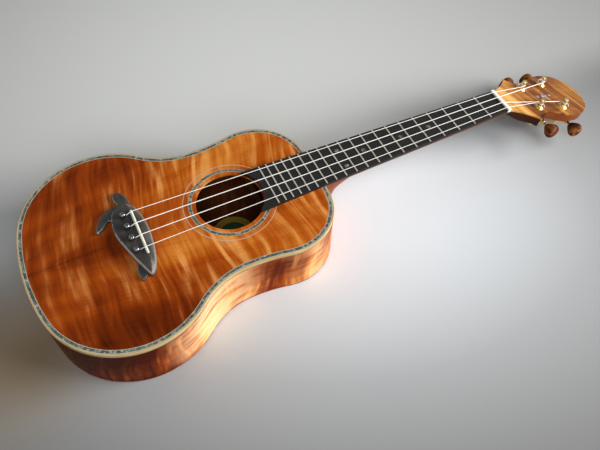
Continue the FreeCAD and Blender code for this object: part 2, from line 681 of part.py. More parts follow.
def tuner_holes():
    """Cutting tool for the bushings, posts and case screws through the head."""
    tools = []
    for _, u, y, _ in tuner_places():
        low = CASE_TOP - OVERCUT
        tools.append(upright(BUSHING_RADIUS, u, y, low, HEAD_PLATE_THICKNESS + OVERCUT))
        su, sy = screw_place(u, y)
        tools.append(upright(SCREW_RADIUS, su, sy, low, CASE_TOP + SCREW_LENGTH))
    return group(tools)


def make_neck():
    """Neck, heel and head core in one piece, drilled for the tuners and the neck inserts."""
    body_side = block(-FAR, FRONT_X, -FAR, FAR, -FAR, FAR)
    shaft = placed(make_neck_shaft(), NECK_FRAME).cut(body_side)
    blend, flat = make_head_core()
    neck = fused([shaft, make_heel(), placed(blend, HEAD_FRAME), placed(flat, HEAD_FRAME)])
    start = FRONT_X - OVERCUT
    end = FRONT_X + INSERT_LENGTH
    bores = [rod(INSERT_RADIUS, Vec(start, 0, z), Vec(end, 0, z)) for z in BOLT_HEIGHTS]
    return neck.cut(placed(tuner_holes(), HEAD_FRAME)).cut(group(bores))


def make_neck_inserts():
    """Threaded sleeves in the heel for the neck bolts, drawn with plain bores."""
    sleeves = []
    bore_radius = BOLT_RADIUS + RUN_CLEARANCE
    for z in BOLT_HEIGHTS:
        end = Vec(FRONT_X + INSERT_LENGTH, 0, z)
        outer = rod(INSERT_RADIUS, Vec(FRONT_X, 0, z), end)
        sleeves.append(outer.cut(rod(bore_radius, Vec(FRONT_X - OVERCUT, 0, z), end)))
    return group(sleeves)


def make_neck_bolts():
    """Two bolts from inside the body, through the neck block and into the heel."""
    seat = FRONT_X - SIDE_THICKNESS - NECK_BLOCK_LENGTH
    bolts = []
    for z in BOLT_HEIGHTS:
        head = rod(BOLT_HEAD_RADIUS, Vec(seat - BOLT_HEAD_HEIGHT, 0, z), Vec(seat, 0, z))
        shank = rod(BOLT_RADIUS, Vec(seat, 0, z), Vec(FRONT_X + INSERT_LENGTH - BOLT_END_GAP, 0, z))
        bolts.append(head.fuse(shank))
    return group(bolts)


# ---- Fretboard --------------------------------------------------------------------------------
def fret_x(number):
    """A fret's place in the neck's frame."""
    return NUT_X - fret_distance(number)


def fret_reach(number):
    """How far a fret runs from the centreline."""
    return board_half_width(fret_distance(number)) - FRET_END_MARGIN


def board_end_x():
    """The far end of the fretboard, before the sound hole's curve is cut out of it."""
    return fret_x(FRET_COUNT) - BOARD_END_PAST_FRET


def dot_places():
    """Dot centres in the neck's frame: one between two frets, and a pair at the octave."""
    places = []
    for number in DOT_FRETS:
        places.append(((fret_x(number) + fret_x(number - 1)) / 2, 0))
    octave = (fret_x(DOUBLE_DOT_FRET) + fret_x(DOUBLE_DOT_FRET - 1)) / 2
    spread = NUT_PITCH + (SADDLE_PITCH - NUT_PITCH) / 2
    places += [(octave, spread), (octave, -spread)]
    return places


def fret_solid(number):
    """One fret: a crown on the board and a tang in its slot, in the neck's frame."""
    half = FRET_WIDTH / 2
    tang = FRET_TANG_WIDTH / 2
    top = BOARD_THICKNESS
    crown = Part.Arc(Vec(half, 0, top), Vec(0, 0, top + FRET_HEIGHT), Vec(-half, 0, top)).toShape()
    corners = [Vec(-half, 0, top), Vec(-tang, 0, top), Vec(-tang, 0, top - FRET_TANG_DEPTH),
               Vec(tang, 0, top - FRET_TANG_DEPTH), Vec(tang, 0, top), Vec(half, 0, top)]
    edges = [crown] + [Part.makeLine(a, b) for a, b in zip(corners, corners[1:])]
    reach = fret_reach(number)
    face = Part.Face(Part.Wire(edges))
    face.translate(Vec(fret_x(number), -reach, 0))
    return face.extrude(Vec(0, 2 * reach, 0))


def make_frets():
    """All frets, placed on the neck."""
    return group([placed(fret_solid(number), NECK_FRAME) for number in range(1, FRET_COUNT + 1)])


def make_fretboard():
    """The tapered board: flat on the neck, lying on the soundboard, with a round end at the hole."""
    end = board_end_x()
    end_half = board_half_width(NUT_X - end)
    nut_half = BOARD_NUT_WIDTH / 2
    corners = [(end, -end_half), (NUT_X, -nut_half), (NUT_X, nut_half), (end, end_half)]
    board = polygon_prism(corners, -BOARD_THICKNESS, BOARD_THICKNESS)
    board = placed(board.cut(block(0, FAR, -FAR, FAR, -FAR, 0)), NECK_FRAME)
    board = board.cut(block(-FAR, FRONT_X, -FAR, FAR, 0, BODY_DEPTH))
    board = board.cut(upright(HOLE_RADIUS + BOARD_HOLE_MARGIN, HOLE_X, 0, 0, 2 * BODY_DEPTH))
    dots = [upright(DOT_RADIUS, x, y, BOARD_THICKNESS - DOT_DEPTH, FRET_TOP) for x, y in dot_places()]
    slots = []
    for number in range(1, FRET_COUNT + 1):
        x = fret_x(number)
        reach = fret_reach(number)
        slots.append(block(x - FRET_TANG_WIDTH / 2, x + FRET_TANG_WIDTH / 2, -reach, reach,
                           BOARD_THICKNESS - FRET_TANG_DEPTH, FRET_TOP))
    return board.cut(placed(group(dots), NECK_FRAME)).cut(placed(group(slots), NECK_FRAME))


def make_position_dots():
    """Shell dots let into the fretboard."""
    low = BOARD_THICKNESS - DOT_DEPTH
    dots = [upright(DOT_RADIUS, x, y, low, BOARD_THICKNESS) for x, y in dot_places()]
    return placed(group(dots), NECK_FRAME)


# ---- Strings ----------------------------------------------------------------------------------
def saddle_y(n):
    """A string's distance from the centreline at the saddle."""
    return (1.5 - n) * SADDLE_PITCH


def winding_radius(n):
    """Radius of the middle of a string's turns on its post."""
    return POST_WAIST_RADIUS + WINDING_CLEARANCE + STRING_RADII[n]


def nut_point(n):
    """The middle of a string where it bends over the nut, in the head's frame."""
    radius = STRING_RADII[n]
    point = Vec(NUT_X + radius, (1.5 - n) * NUT_PITCH, FRET_TOP + STRING_OVER_FRETS + radius)
    return HEAD_IN_NECK.inverse().multVec(point)


def post_end_point(n):
    """Where a string stops, on the line that touches its turns from the centreline side."""
    _, u, y, side = tuner_places()[n]
    start = nut_point(n)
    radius = winding_radius(n)
    span = math.hypot(u - start.x, y - start.y)
    heading = math.atan2(y - start.y, u - start.x) - side * math.asin(radius / span)
    clear = radius + 2 * STRING_RADII[n] + STRING_END_CLEARANCE
    reach = math.sqrt(span ** 2 - radius ** 2) - math.sqrt(clear ** 2 - radius ** 2)
    return Vec(start.x + reach * math.cos(heading), start.y + reach * math.sin(heading), WINDING_LEVEL)


def string_route(n):
    """A string from its knot, up beside the pin, over the saddle and the nut, to its post."""
    radius = STRING_RADII[n]
    x = string_drop_x(n)
    y = pin_positions()[n][1]
    knot = Vec(x, y, BRIDGE_PLATE_LOW - KNOT_RADIUS)
    bend = Vec(x, y, BRIDGE_TOP + radius)
    saddle = Vec(SADDLE_X, saddle_y(n), BODY_DEPTH + SADDLE_CROWN_HEIGHT + radius)
    nut = HEAD_FRAME.multVec(nut_point(n))
    return [knot, bend, saddle, nut, HEAD_FRAME.multVec(post_end_point(n))]


def swept(route, radius):
    """A round bar along straight runs with mitred corners."""
    path = Part.makePolygon(route)
    circle = Part.Wire(Part.makeCircle(radius, route[0], route[1] - route[0]))
    return path.makePipeShell([circle], True, False, 1)


def make_string(n):
    """One string with the knot that holds it under the bridge plate."""
    route = string_route(n)
    knot = Part.makeSphere(KNOT_RADIUS, route[0])
    return swept(route, STRING_RADII[n]).fuse(knot)


def make_winding(n):
    """The turns of a string round its post, one over the other."""
    _, u, y, _ = tuner_places()[n]
    radius = STRING_RADII[n]
    turns = []
    for turn in range(WINDING_TURNS):
        height = WINDING_LEVEL + 2 * turn * (radius + WINDING_CLEARANCE / 2)
        turns.append(Part.makeTorus(winding_radius(n), radius, Vec(u, y, height)))
    return placed(group(turns), HEAD_FRAME)


def make_nut():
    """The nut, with its top sloping to the head and a slot for each string."""
    high = FRET_TOP + STRING_OVER_FRETS + max(STRING_RADII)
    corners = [Vec(NUT_X, 0, 0), Vec(NUT_X + NUT_LENGTH, 0, 0), Vec(NUT_X + NUT_LENGTH, 0, high - NUT_DROP),
               Vec(NUT_X + NUT_LENGTH / 4, 0, high), Vec(NUT_X, 0, high)]
    face = Part.Face(Part.makePolygon(corners + corners[:1]))
    face.translate(Vec(0, -NUT_WIDTH / 2, 0))
    nut = placed(face.extrude(Vec(0, NUT_WIDTH, 0)), NECK_FRAME)
    for n in range(len(STRING_NAMES)):
        nut = nut.cut(swept(string_route(n)[2:], STRING_RADII[n] + STRING_SLOT_CLEARANCE))
    return nut


# ---- Bridge -----------------------------------------------------------------------------------
def from_saddle(points):
    """Bridge outline points moved to the saddle's place."""
    return [(SADDLE_X + x, y) for x, y in points]


def inset_points(points, inset):
    """The points of a closed loop moved inwards, square to the line between their neighbours."""
    moved = []
    for n, (x, y) in enumerate(points):
        before = points[n - 1]
        after = points[(n + 1) % len(points)]
        dx = after[0] - before[0]
        dy = after[1] - before[1]
        length = math.hypot(dx, dy)
        moved.append((x + inset * dy / length, y - inset * dx / length))
    return moved


def bridge_loop(inset, z):
    """The bridge body's outline as a wire at a height."""
    edge = spline(from_saddle(inset_points(BRIDGE_BODY, inset)), PeriodicFlag=True)
    edge.translate(Vec(0, 0, z))
    return Part.Wire(edge)


def make_bridge():
    """The whale-shaped bridge: a bevelled body with flukes at the bass end and a fin at the nose."""
    edge_z = BODY_DEPTH + BRIDGE_EDGE_HEIGHT
    base = Part.Face(bridge_loop(0, BODY_DEPTH)).extrude(Vec(0, 0, BRIDGE_EDGE_HEIGHT))
    bevel = Part.makeLoft([bridge_loop(0, edge_z), bridge_loop(BRIDGE_BEVEL, BRIDGE_TOP)], True, True)
    fluke_edges = [spline(from_saddle(part)) for part in (FLUKE_UPPER, FLUKE_LOWER, FLUKE_INNER)]
    fluke_edges += lines(from_saddle((FLUKE_INNER[-1],) + FLUKE_ROOT + (FLUKE_UPPER[0],)))
    flukes = prism(fluke_edges, BODY_DEPTH, BODY_DEPTH + FLUKE_HEIGHT)
    fin_edges = [spline(from_saddle(part)) for part in (FIN_OUTER, FIN_INNER)]
    fin_edges += lines(from_saddle((FIN_INNER[-1],) + FIN_ROOT + (FIN_OUTER[0],)))
    fin = prism(fin_edges, BODY_DEPTH, BODY_DEPTH + FIN_HEIGHT)
    bridge = fused([base, bevel, flukes, fin])
    return bridge.cut(saddle_bar(BRIDGE_TOP + OVERCUT)).cut(pin_holes())


def saddle_bar(top):
    """The saddle's slot in the bridge, up to a height, with round ends."""
    low = BRIDGE_TOP - SADDLE_SLOT_DEPTH
    half = (SADDLE_LENGTH - SADDLE_WIDTH) / 2
    side = SADDLE_WIDTH / 2
    bar = block(SADDLE_X - side, SADDLE_X + side, SADDLE_OFFSET - half, SADDLE_OFFSET + half, low, top)
    ends = [upright(side, SADDLE_X, SADDLE_OFFSET + end * half, low, top) for end in (-1, 1)]
    return fused([bar] + ends)


def make_saddle():
    """The saddle, crowned along its length."""
    crown = BODY_DEPTH + SADDLE_CROWN_HEIGHT
    side = SADDLE_WIDTH / 2
    start = Vec(SADDLE_X, SADDLE_OFFSET - SADDLE_LENGTH / 2 - OVERCUT, crown - side)
    end = start + Vec(0, SADDLE_LENGTH + 2 * OVERCUT, 0)
    lower = block(SADDLE_X - side, SADDLE_X + side, start.y, end.y, 0, crown - side)
    return saddle_bar(crown).common(lower.fuse(rod(side, start, end)))


def make_bridge_pins():
    """Round-headed pins that hold the strings in the bridge."""
    pins = []
    for x, y in pin_positions():
        neck_top = BRIDGE_TOP + PIN_NECK_HEIGHT
        low = BRIDGE_PLATE_LOW + PIN_END_GAP
        shank = upright(PIN_RADIUS, x, y, low, neck_top + PIN_NECK_OVERLAP)
        head = Part.makeSphere(PIN_HEAD_RADIUS, Vec(x, y, BRIDGE_TOP + PIN_HEAD_RISE))
        head = head.common(block(x - FAR, x + FAR, -FAR, FAR, neck_top, FAR))
        pins.append(shank.fuse(head))
    return group(pins)


# ---- Head plate and inlay ---------------------------------------------------------------------
def inlay_solids():
    """A plain lozenge and two discs on the head, in its own frame."""
    low = HEAD_PLATE_THICKNESS - HEAD_INLAY_DEPTH
    half = HEAD_INLAY_LENGTH / 2
    corners = [(HEAD_INLAY_CENTRE - half / 2, 0), (HEAD_INLAY_CENTRE, HEAD_INLAY_WIDTH / 2),
               (HEAD_INLAY_CENTRE + half / 2, 0), (HEAD_INLAY_CENTRE, -HEAD_INLAY_WIDTH / 2)]
    lozenge = polygon_prism(corners, low, HEAD_PLATE_THICKNESS)
    discs = [upright(HEAD_INLAY_DISC_RADIUS, HEAD_INLAY_CENTRE + side * half, 0, low, HEAD_PLATE_THICKNESS)
             for side in (-1, 1)]
    return group([lozenge] + discs)


def make_head_plate():
    """The figured veneer on the head's face."""
    face = prism(head_outline_edges(), 0, HEAD_PLATE_THICKNESS)
    return placed(face.cut(tuner_holes()).cut(inlay_solids()), HEAD_FRAME)


# ---- Tuners, each in the head's frame ---------------------------------------------------------
def bushing(u, y):
    """The sleeve in the head with its washer and hexagon on the face."""
    face = HEAD_PLATE_THICKNESS
    bore = POST_RADIUS + RUN_CLEARANCE
    sleeve = upright(BUSHING_RADIUS, u, y, face - BUSHING_LENGTH, face)
    washer = upright(WASHER_RADIUS, u, y, face, face + WASHER_THICKNESS)
    corner = HEX_ACROSS_FLATS / math.sqrt(3)
    corners = [(u + corner * math.cos(math.radians(60 * n)), y + corner * math.sin(math.radians(60 * n)))
               for n in range(6)]
    hexagon = polygon_prism(corners, face + WASHER_THICKNESS, face + WASHER_THICKNESS + HEX_HEIGHT)
    foot = Vec(u, y, face + WASHER_THICKNESS)
    dome = Part.makeCone(corner * HEX_DOME_FOOT, corner * HEX_DOME_TOP, HEX_HEIGHT, foot)
    whole = fused([sleeve, washer, hexagon.common(dome)])
    return whole.cut(upright(bore, u, y, -FAR, FAR))


def post(u, y):
    """A post with a waist for the string, a cross hole and the worm wheel at its foot."""
    top = HEAD_PLATE_THICKNESS + POST_HEIGHT
    low = CASE_TOP - CASE_HEIGHT + CASE_WALL + CASE_FLOAT
    shaft = upright(POST_RADIUS, u, y, low, top)
    waist_low = HEAD_PLATE_THICKNESS + WINDING_HEIGHT - max(STRING_RADII) - WINDING_CLEARANCE
    waist_high = waist_low + 2 * WINDING_TURNS * (max(STRING_RADII) + WINDING_CLEARANCE) + WINDING_CLEARANCE
    groove = tube(POST_RADIUS + OVERCUT, POST_WAIST_RADIUS, u, y, waist_low, waist_high)
    tip_low = top - POST_TIP_HEIGHT
    tip = Part.makeCone(POST_RADIUS, POST_RADIUS - POST_TIP_TAPER, POST_TIP_HEIGHT, Vec(u, y, tip_low))
    outside_tip = upright(POST_RADIUS + OVERCUT, u, y, tip_low, top).cut(tip)
    hole_height = (waist_high + top) / 2 - POST_HOLE_DROP
    hole = rod(POST_HOLE_RADIUS, Vec(u - FAR, y, hole_height), Vec(u + FAR, y, hole_height))
    wheel = upright(WHEEL_RADIUS, u, y, WORM_DROP - WHEEL_THICKNESS / 2, WORM_DROP + WHEEL_THICKNESS / 2)
    gaps = []
    for tooth in range(WHEEL_TEETH):
        angle = 2 * math.pi * tooth / WHEEL_TEETH
        radius = WHEEL_RADIUS + WHEEL_GAP_OFFSET
        gap_u = u + radius * math.cos(angle)
        gap_y = y + radius * math.sin(angle)
        gaps.append(upright(WHEEL_GAP_RADIUS, gap_u, gap_y, -FAR, 0))
    return shaft.fuse(wheel.cut(group(gaps))).cut(groove).cut(outside_tip).cut(hole)


def case(u, y, side):
    """The closed gear case: bearings for post and worm, a boss round the shaft and a screwed ear."""
    bottom = CASE_TOP - CASE_HEIGHT
    shell = block(u - CASE_REACH, u + CASE_FRONT, y - CASE_REACH, y + CASE_REACH, bottom, CASE_TOP)
    boss_end = y + side * (CASE_REACH + BOSS_LENGTH)
    worm_u = u + WORM_OFFSET
    boss = rod(BOSS_RADIUS, Vec(worm_u, y, WORM_DROP), Vec(worm_u, boss_end, WORM_DROP))
    ear_u = u - CASE_REACH - EAR_LENGTH
    ear = block(ear_u, u, y - EAR_WIDTH / 2, y + EAR_WIDTH / 2, CASE_TOP - EAR_THICKNESS, CASE_TOP)
    room = CASE_REACH - CASE_WALL
    hollow = block(u - room, u + CASE_FRONT - CASE_WALL, y - room, y + room,
                   bottom + CASE_WALL, CASE_TOP - CASE_WALL)
    post_bore = upright(POST_RADIUS + RUN_CLEARANCE, u, y, WORM_DROP, CASE_TOP + OVERCUT)
    worm_bore = rod(SHAFT_RADIUS + RUN_CLEARANCE, Vec(worm_u, y - side * (CASE_REACH + OVERCUT), WORM_DROP),
                    Vec(worm_u, boss_end + side * OVERCUT, WORM_DROP))
    su, sy = screw_place(u, y)
    screw_hole = upright(SCREW_RADIUS + RUN_CLEARANCE, su, sy, bottom, CASE_TOP + OVERCUT)
    return fused([shell, boss, ear]).cut(group([hollow, post_bore, worm_bore, screw_hole]))


def worm(u, y, side):
    """The worm and its shaft, which runs out through the boss into the button."""
    worm_u = u + WORM_OFFSET

    def along_axis(radius, start, end):
        return rod(radius, Vec(worm_u, start, WORM_DROP), Vec(worm_u, end, WORM_DROP))

    button_foot = BUTTON_FROM_POST - BUTTON_LENGTH / 2
    shaft = along_axis(SHAFT_RADIUS, y - side * CASE_REACH, y + side * (button_foot + BUTTON_BORE_DEPTH))
    low = y - WORM_LENGTH / 2
    barrel = along_axis(WORM_RADIUS, low, low + WORM_LENGTH)
    groove_width = WORM_LENGTH / (2 * WORM_GROOVE_COUNT + 1)
    grooves = []
    for n in range(WORM_GROOVE_COUNT):
        start = low + groove_width * (2 * n + 1)
        outer = along_axis(WORM_RADIUS + OVERCUT, start, start + groove_width)
        inner = along_axis(WORM_RADIUS - WORM_GROOVE_DEPTH, start, start + groove_width)
        grooves.append(outer.cut(inner))
    return shaft.fuse(barrel.cut(group(grooves)))


def button(u, y, side):
    """A round wooden button, turned about the worm's axis."""
    axis_point = Vec(u + WORM_OFFSET, y + side * (BUTTON_FROM_POST - BUTTON_LENGTH / 2), WORM_DROP)
    out = Vec(0, side, 0)
    across = Vec(1, 0, 0)

    def at(along, radius):
        return axis_point + out * along + across * radius

    profile = [at(0, BUTTON_NECK_RADIUS)]
    profile += [at(along * BUTTON_LENGTH, radius * BUTTON_RADIUS) for along, radius in BUTTON_PROFILE]
    swell = Part.BSplineCurve()
    swell.interpolate(profile)
    corners = [profile[-1], at(BUTTON_LENGTH, 0), at(0, 0), profile[0]]
    edges = [swell.toShape()] + [Part.makeLine(a, b) for a, b in zip(corners, corners[1:])]
    knob = Part.Face(Part.Wire(edges)).revolve(axis_point, Y_AXIS, 360)
    bore = rod(SHAFT_RADIUS, axis_point - out, axis_point + out * BUTTON_BORE_DEPTH)
    return knob.cut(bore)


def case_screw(u, y):
    """The screw that holds a gear case to the head."""
    su, sy = screw_place(u, y)
    seat = CASE_TOP - EAR_THICKNESS
    head = upright(SCREW_HEAD_RADIUS, su, sy, seat - SCREW_HEAD_HEIGHT, seat)
    return head.fuse(upright(SCREW_RADIUS, su, sy, seat, CASE_TOP + SCREW_LENGTH))


def make_tuners():
    """Every tuner's pieces by node name."""
    pieces = {}
    bushings = []
    screws = []
    for name, u, y, side in tuner_places():
        pieces["tuner_case_" + name] = placed(case(u, y, side), HEAD_FRAME)
        pieces["tuner_post_" + name] = placed(post(u, y), HEAD_FRAME)
        pieces["tuner_worm_" + name] = placed(worm(u, y, side), HEAD_FRAME)
        pieces["tuner_button_" + name] = placed(button(u, y, side), HEAD_FRAME)
        bushings.append(placed(bushing(u, y), HEAD_FRAME))
        screws.append(placed(case_screw(u, y), HEAD_FRAME))
    pieces["tuner_bushings"] = group(bushings)
    pieces["tuner_screws"] = group(screws)
    return pieces


# ---- The whole instrument ---------------------------------------------------------------------
def make_nodes():
    """Every node's shape by name."""
    nodes = {}
    nodes["back_plate"] = make_back_plate()
    nodes["side_bass"], nodes["side_treble"] = make_sides()
    nodes["end_strip"] = make_end_strip()
    nodes["side_line"] = make_side_line()
    nodes["soundboard"] = make_soundboard()
    nodes["top_binding"] = make_top_binding()
    nodes["purfling_shell"], nodes["purfling_lines"] = make_purfling()
    nodes["rosette_shell"], nodes["rosette_lines"], nodes["rosette_outer_ring"] = make_rosette()
    nodes["top_lining"], nodes["back_lining"] = make_linings()
    nodes["neck_block"] = make_neck_block()
    nodes["tail_block"] = make_tail_block()
    nodes["transverse_braces"] = make_transverse_braces()
    nodes["fan_braces"] = make_fan_braces()
    nodes["back_braces"] = make_back_braces()
    nodes["bridge_plate"] = make_bridge_plate()
    nodes["label"] = make_label()
    nodes["neck"] = make_neck()
    nodes["heel_cap"] = make_heel_cap()
    nodes["neck_bolts"] = make_neck_bolts()
    nodes["neck_inserts"] = make_neck_inserts()
    nodes["fretboard"] = make_fretboard()
    nodes["frets"] = make_frets()
    nodes["position_dots"] = make_position_dots()
    nodes["nut"] = make_nut()
    nodes["bridge"] = make_bridge()
    nodes["saddle"] = make_saddle()
    nodes["bridge_pins"] = make_bridge_pins()
    nodes["head_plate"] = make_head_plate()
    nodes["head_inlay"] = placed(inlay_solids(), HEAD_FRAME)
    for n, name in enumerate(STRING_NAMES):
        nodes["string_" + name] = make_string(n)
        nodes["string_turns_" + name] = make_winding(n)
    nodes.update(make_tuners())
    return nodes


os.makedirs("parts", exist_ok=True)
for node, shape in make_nodes().items():
    shape.exportStep("parts/" + node + ".step")
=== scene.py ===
import json
import math

import bmesh
import bpy
import numpy as np
from mathutils import Matrix, Vector
from mathutils.geometry import delaunay_2d_cdt


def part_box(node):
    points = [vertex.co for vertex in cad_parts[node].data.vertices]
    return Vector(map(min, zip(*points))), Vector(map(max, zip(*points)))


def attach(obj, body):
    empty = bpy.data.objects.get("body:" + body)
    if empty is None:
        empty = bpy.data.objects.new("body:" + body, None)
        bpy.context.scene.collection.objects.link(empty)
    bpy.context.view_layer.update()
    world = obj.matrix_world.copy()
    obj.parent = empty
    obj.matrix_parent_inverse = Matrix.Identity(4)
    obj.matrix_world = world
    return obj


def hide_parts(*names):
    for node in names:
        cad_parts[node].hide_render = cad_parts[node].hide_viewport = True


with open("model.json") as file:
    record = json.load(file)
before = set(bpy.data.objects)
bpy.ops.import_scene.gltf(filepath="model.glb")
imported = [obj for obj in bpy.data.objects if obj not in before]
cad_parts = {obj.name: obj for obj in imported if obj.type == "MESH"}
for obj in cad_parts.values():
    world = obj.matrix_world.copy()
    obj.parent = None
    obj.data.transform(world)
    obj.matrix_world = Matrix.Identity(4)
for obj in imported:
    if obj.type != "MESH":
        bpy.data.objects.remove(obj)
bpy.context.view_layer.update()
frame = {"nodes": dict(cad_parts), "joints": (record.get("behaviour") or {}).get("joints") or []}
NODES = frame["nodes"]
JOINTS = {joint["name"]: joint for joint in frame["joints"]}
STRINGS = ("g", "c", "e", "a")
MM = 0.001


# ---- Node graphs ------------------------------------------------------------------------------
class Graph:
    """A material's node tree. The calls that work out a value add nodes and return the last one's output."""

    def __init__(self, name):
        self.material = bpy.data.materials.new(name)
        self.material.use_nodes = True
        self.tree = self.material.node_tree
        self.shader = self.tree.nodes["Principled BSDF"]

    def put(self, socket, value):
        if isinstance(value, bpy.types.NodeSocket):
            self.tree.links.new(value, socket)
        else:
            socket.default_value = value

    def add(self, kind, inputs, **settings):
        node = self.tree.nodes.new("ShaderNode" + kind)
        for key, value in settings.items():
            setattr(node, key, value)
        for key, value in inputs.items():
            self.put(node.inputs[key], value)
        return node

    def set(self, **values):
        for key, value in values.items():
            self.put(self.shader.inputs[key.replace("_", " ")], value)

    def position(self, rotation=(0, 0, 0)):
        """Place on the object in metres, turned first by angles in radians, as three scalars."""
        coords = self.add("TexCoord", {}).outputs["Object"]
        turned = self.add("Mapping", {"Vector": coords, "Rotation": rotation}).outputs[0]
        return tuple(self.add("SeparateXYZ", {0: turned}).outputs)

    def vector(self, x, y, z=0.0):
        return self.add("CombineXYZ", {0: x, 1: y, 2: z}).outputs[0]

    def math(self, operation, a, b=0.0, clamp=False):
        return self.add("Math", {0: a, 1: b}, operation=operation, use_clamp=clamp).outputs[0]

    def total(self, first, second):
        """Sum of two scalars, each given with its share."""
        return self.math("ADD", self.math("MULTIPLY", *first), self.math("MULTIPLY", *second))

    def sway(self, value, noise, share):
        """A scalar shifted up and down by a noise, which is 0.5 on average."""
        return self.math("ADD", value, self.math("MULTIPLY", self.math("SUBTRACT", noise, 0.5), share))

    def length(self, x, y):
        return self.math("SQRT", self.total((x, x), (y, y)))

    def scaled(self, x, y, z, sx, sy, sz):
        """A vector of three scalars, each times its own factor."""
        return self.vector(self.math("MULTIPLY", x, sx), self.math("MULTIPLY", y, sy),
                           self.math("MULTIPLY", z, sz))

    def noise(self, vector, detail=2.0, roughness=0.5, distortion=0.0, scale=1.0):
        node = self.add("TexNoise", {"Vector": vector, "Scale": scale, "Detail": detail,
                                     "Roughness": roughness, "Distortion": distortion})
        return node.outputs["Fac"]

    def span(self, value, low, high, to_low=0.0, to_high=1.0):
        """Maps a range smoothly to another."""
        node = self.add("MapRange", {0: value, 1: low, 2: high, 3: to_low, 4: to_high},
                        interpolation_type="SMOOTHSTEP")
        return node.outputs[0]

    def ramp(self, value, stops):
        node = self.add("ValToRGB", {0: value})
        elements = node.color_ramp.elements
        while len(elements) < len(stops):
            elements.new(0.5)
        for element, (place, colour) in zip(elements, stops):
            element.position = place
            element.color = (*colour, 1.0)
        return node.outputs[0]

    def mix(self, factor, a, b, blend="MIX"):
        node = self.tree.nodes.new("ShaderNodeMix")
        node.data_type = "RGBA"
        node.blend_type = blend
        self.put(node.inputs[0], factor)
        for socket, value in ((node.inputs[6], a), (node.inputs[7], b)):
            self.put(socket, value if isinstance(value, bpy.types.NodeSocket) else (*value, 1.0))
        return node.outputs[2]

    def spot(self, x, y, middle, reach):
        """1 at a point of a plane, falling to 0 at a distance along each direction."""
        dx = self.math("DIVIDE", self.math("SUBTRACT", x, middle[0]), reach[0])
        dy = self.math("DIVIDE", self.math("SUBTRACT", y, middle[1]), reach[1])
        return self.span(self.length(dx, dy), 0.0, 1.0, 1.0, 0.0)

    def bump(self, height, strength, distance):
        node = self.add("Bump", {"Height": height, "Strength": strength, "Distance": distance})
        self.put(self.shader.inputs["Normal"], node.outputs[0])


# ---- Wood -------------------------------------------------------------------------------------
# A palette is five tones from dark to light, which a wood's shade picks at these stops.
SHADE_STOPS = (0.20, 0.38, 0.52, 0.66, 0.84)
KOA = ((0.062, 0.0080, 0.0008), (0.160, 0.0220, 0.0016), (0.300, 0.0470, 0.0028), (0.440, 0.088, 0.0060),
       (0.660, 0.220, 0.0300))
KOA_GOLD = (0.880, 0.410, 0.115)
# Noise of the figure, as repeats per metre along the grain, across it and in depth.
WARP = (12, 12, 12)
TONE = (7, 17, 7)
BANDS = (4, 48, 20)
LINES = (9, 420, 120)
PORES = (90, 1700, 400)
PATCHES = (15, 19, 9)
# Noise of the curl in the same order, which ripples across the grain in three sizes.
BROAD_CURL = (42, 8, 9)
STREAK_CURL = (130, 15, 21)
FINE_CURL = (330, 24, 34)
WARP_REACH = 0.030        # metres over which the warp shifts the curl


def figured(g, along, across, depth, slant, light, palette=KOA, gold=KOA_GOLD, curl=1.0, curl_pitch=1.0):
    """Colour, grain lines and pores of figured wood.

    along, across and depth place a point in metres along the grain, across it and into the wood. slant leans
    the curl, light shifts the tone, and curl and curl_pitch scale how strong and how close the curl is.
    """
    warp = g.math("SUBTRACT", g.noise(g.scaled(along, across, depth, *WARP), detail=1), 0.5)
    tone = g.noise(g.scaled(along, across, depth, *TONE), detail=2)
    bands = g.noise(g.scaled(along, across, depth, *BANDS), detail=1)
    lines = g.noise(g.scaled(along, across, depth, *LINES), detail=4, roughness=0.65)
    pores = g.noise(g.scaled(along, across, depth, *PORES), detail=1)
    patches = g.noise(g.scaled(along, across, depth, *PATCHES), detail=2)
    patches = g.span(patches, 0.36, 0.62, 0.25, 1.0)
    bent = g.math("ADD", along, g.total((across, -slant), (warp, WARP_REACH)))

    def curl_noise(scale, detail):
        return g.noise(g.scaled(bent, across, depth, scale[0] * curl_pitch, *scale[1:]), detail=detail)

    streaks = curl_noise(STREAK_CURL, 2)
    ripple = g.math("MULTIPLY", g.math("SUBTRACT", streaks, 0.5), g.math("MULTIPLY", patches, 0.54))
    ripple = g.sway(ripple, curl_noise(BROAD_CURL, 1), 0.24)
    ripple = g.sway(ripple, curl_noise(FINE_CURL, 2), 0.22)
    shade = g.sway(g.total((tone, 0.66), (bands, 0.28)), lines, 0.09)
    shade = g.math("ADD", shade, g.math("ADD", light, 0.03))
    shade = g.math("ADD", shade, g.math("MULTIPLY", ripple, curl))
    colour = g.ramp(shade, tuple(zip(SHADE_STOPS, palette)))
    flame = g.math("MULTIPLY", g.span(streaks, 0.48, 0.72), patches)
    flame = g.math("MULTIPLY", flame, g.span(shade, 0.38, 0.76, 0.05, 1.0))
    colour = g.mix(g.math("MULTIPLY", flame, 0.66 * curl, clamp=True), colour, gold)
    colour = g.mix(g.span(pores, 0.62, 0.72, 0.0, 0.30), colour, palette[0])
    colour = g.mix(g.span(bands, 0.60, 0.76, 0.0, 0.20), colour, palette[0])
    return colour, lines, pores


def satin(g, colour, lines, pores, roughness=0.28, specular=0.06):
    """Satin lacquer over open grain."""
    sheen = g.span(lines, 0.2, 0.8, roughness - 0.05, roughness + 0.08)
    g.set(Base_Color=colour, Specular_IOR_Level=specular, Roughness=sheen)
    grain(g, lines, pores, 0.12)
    return g.material


def grain(g, lines, pores, strength):
    """Relief of open grain."""
    g.bump(g.math("SUBTRACT", lines, g.span(pores, 0.6, 0.75)), strength, 0.2 * MM)


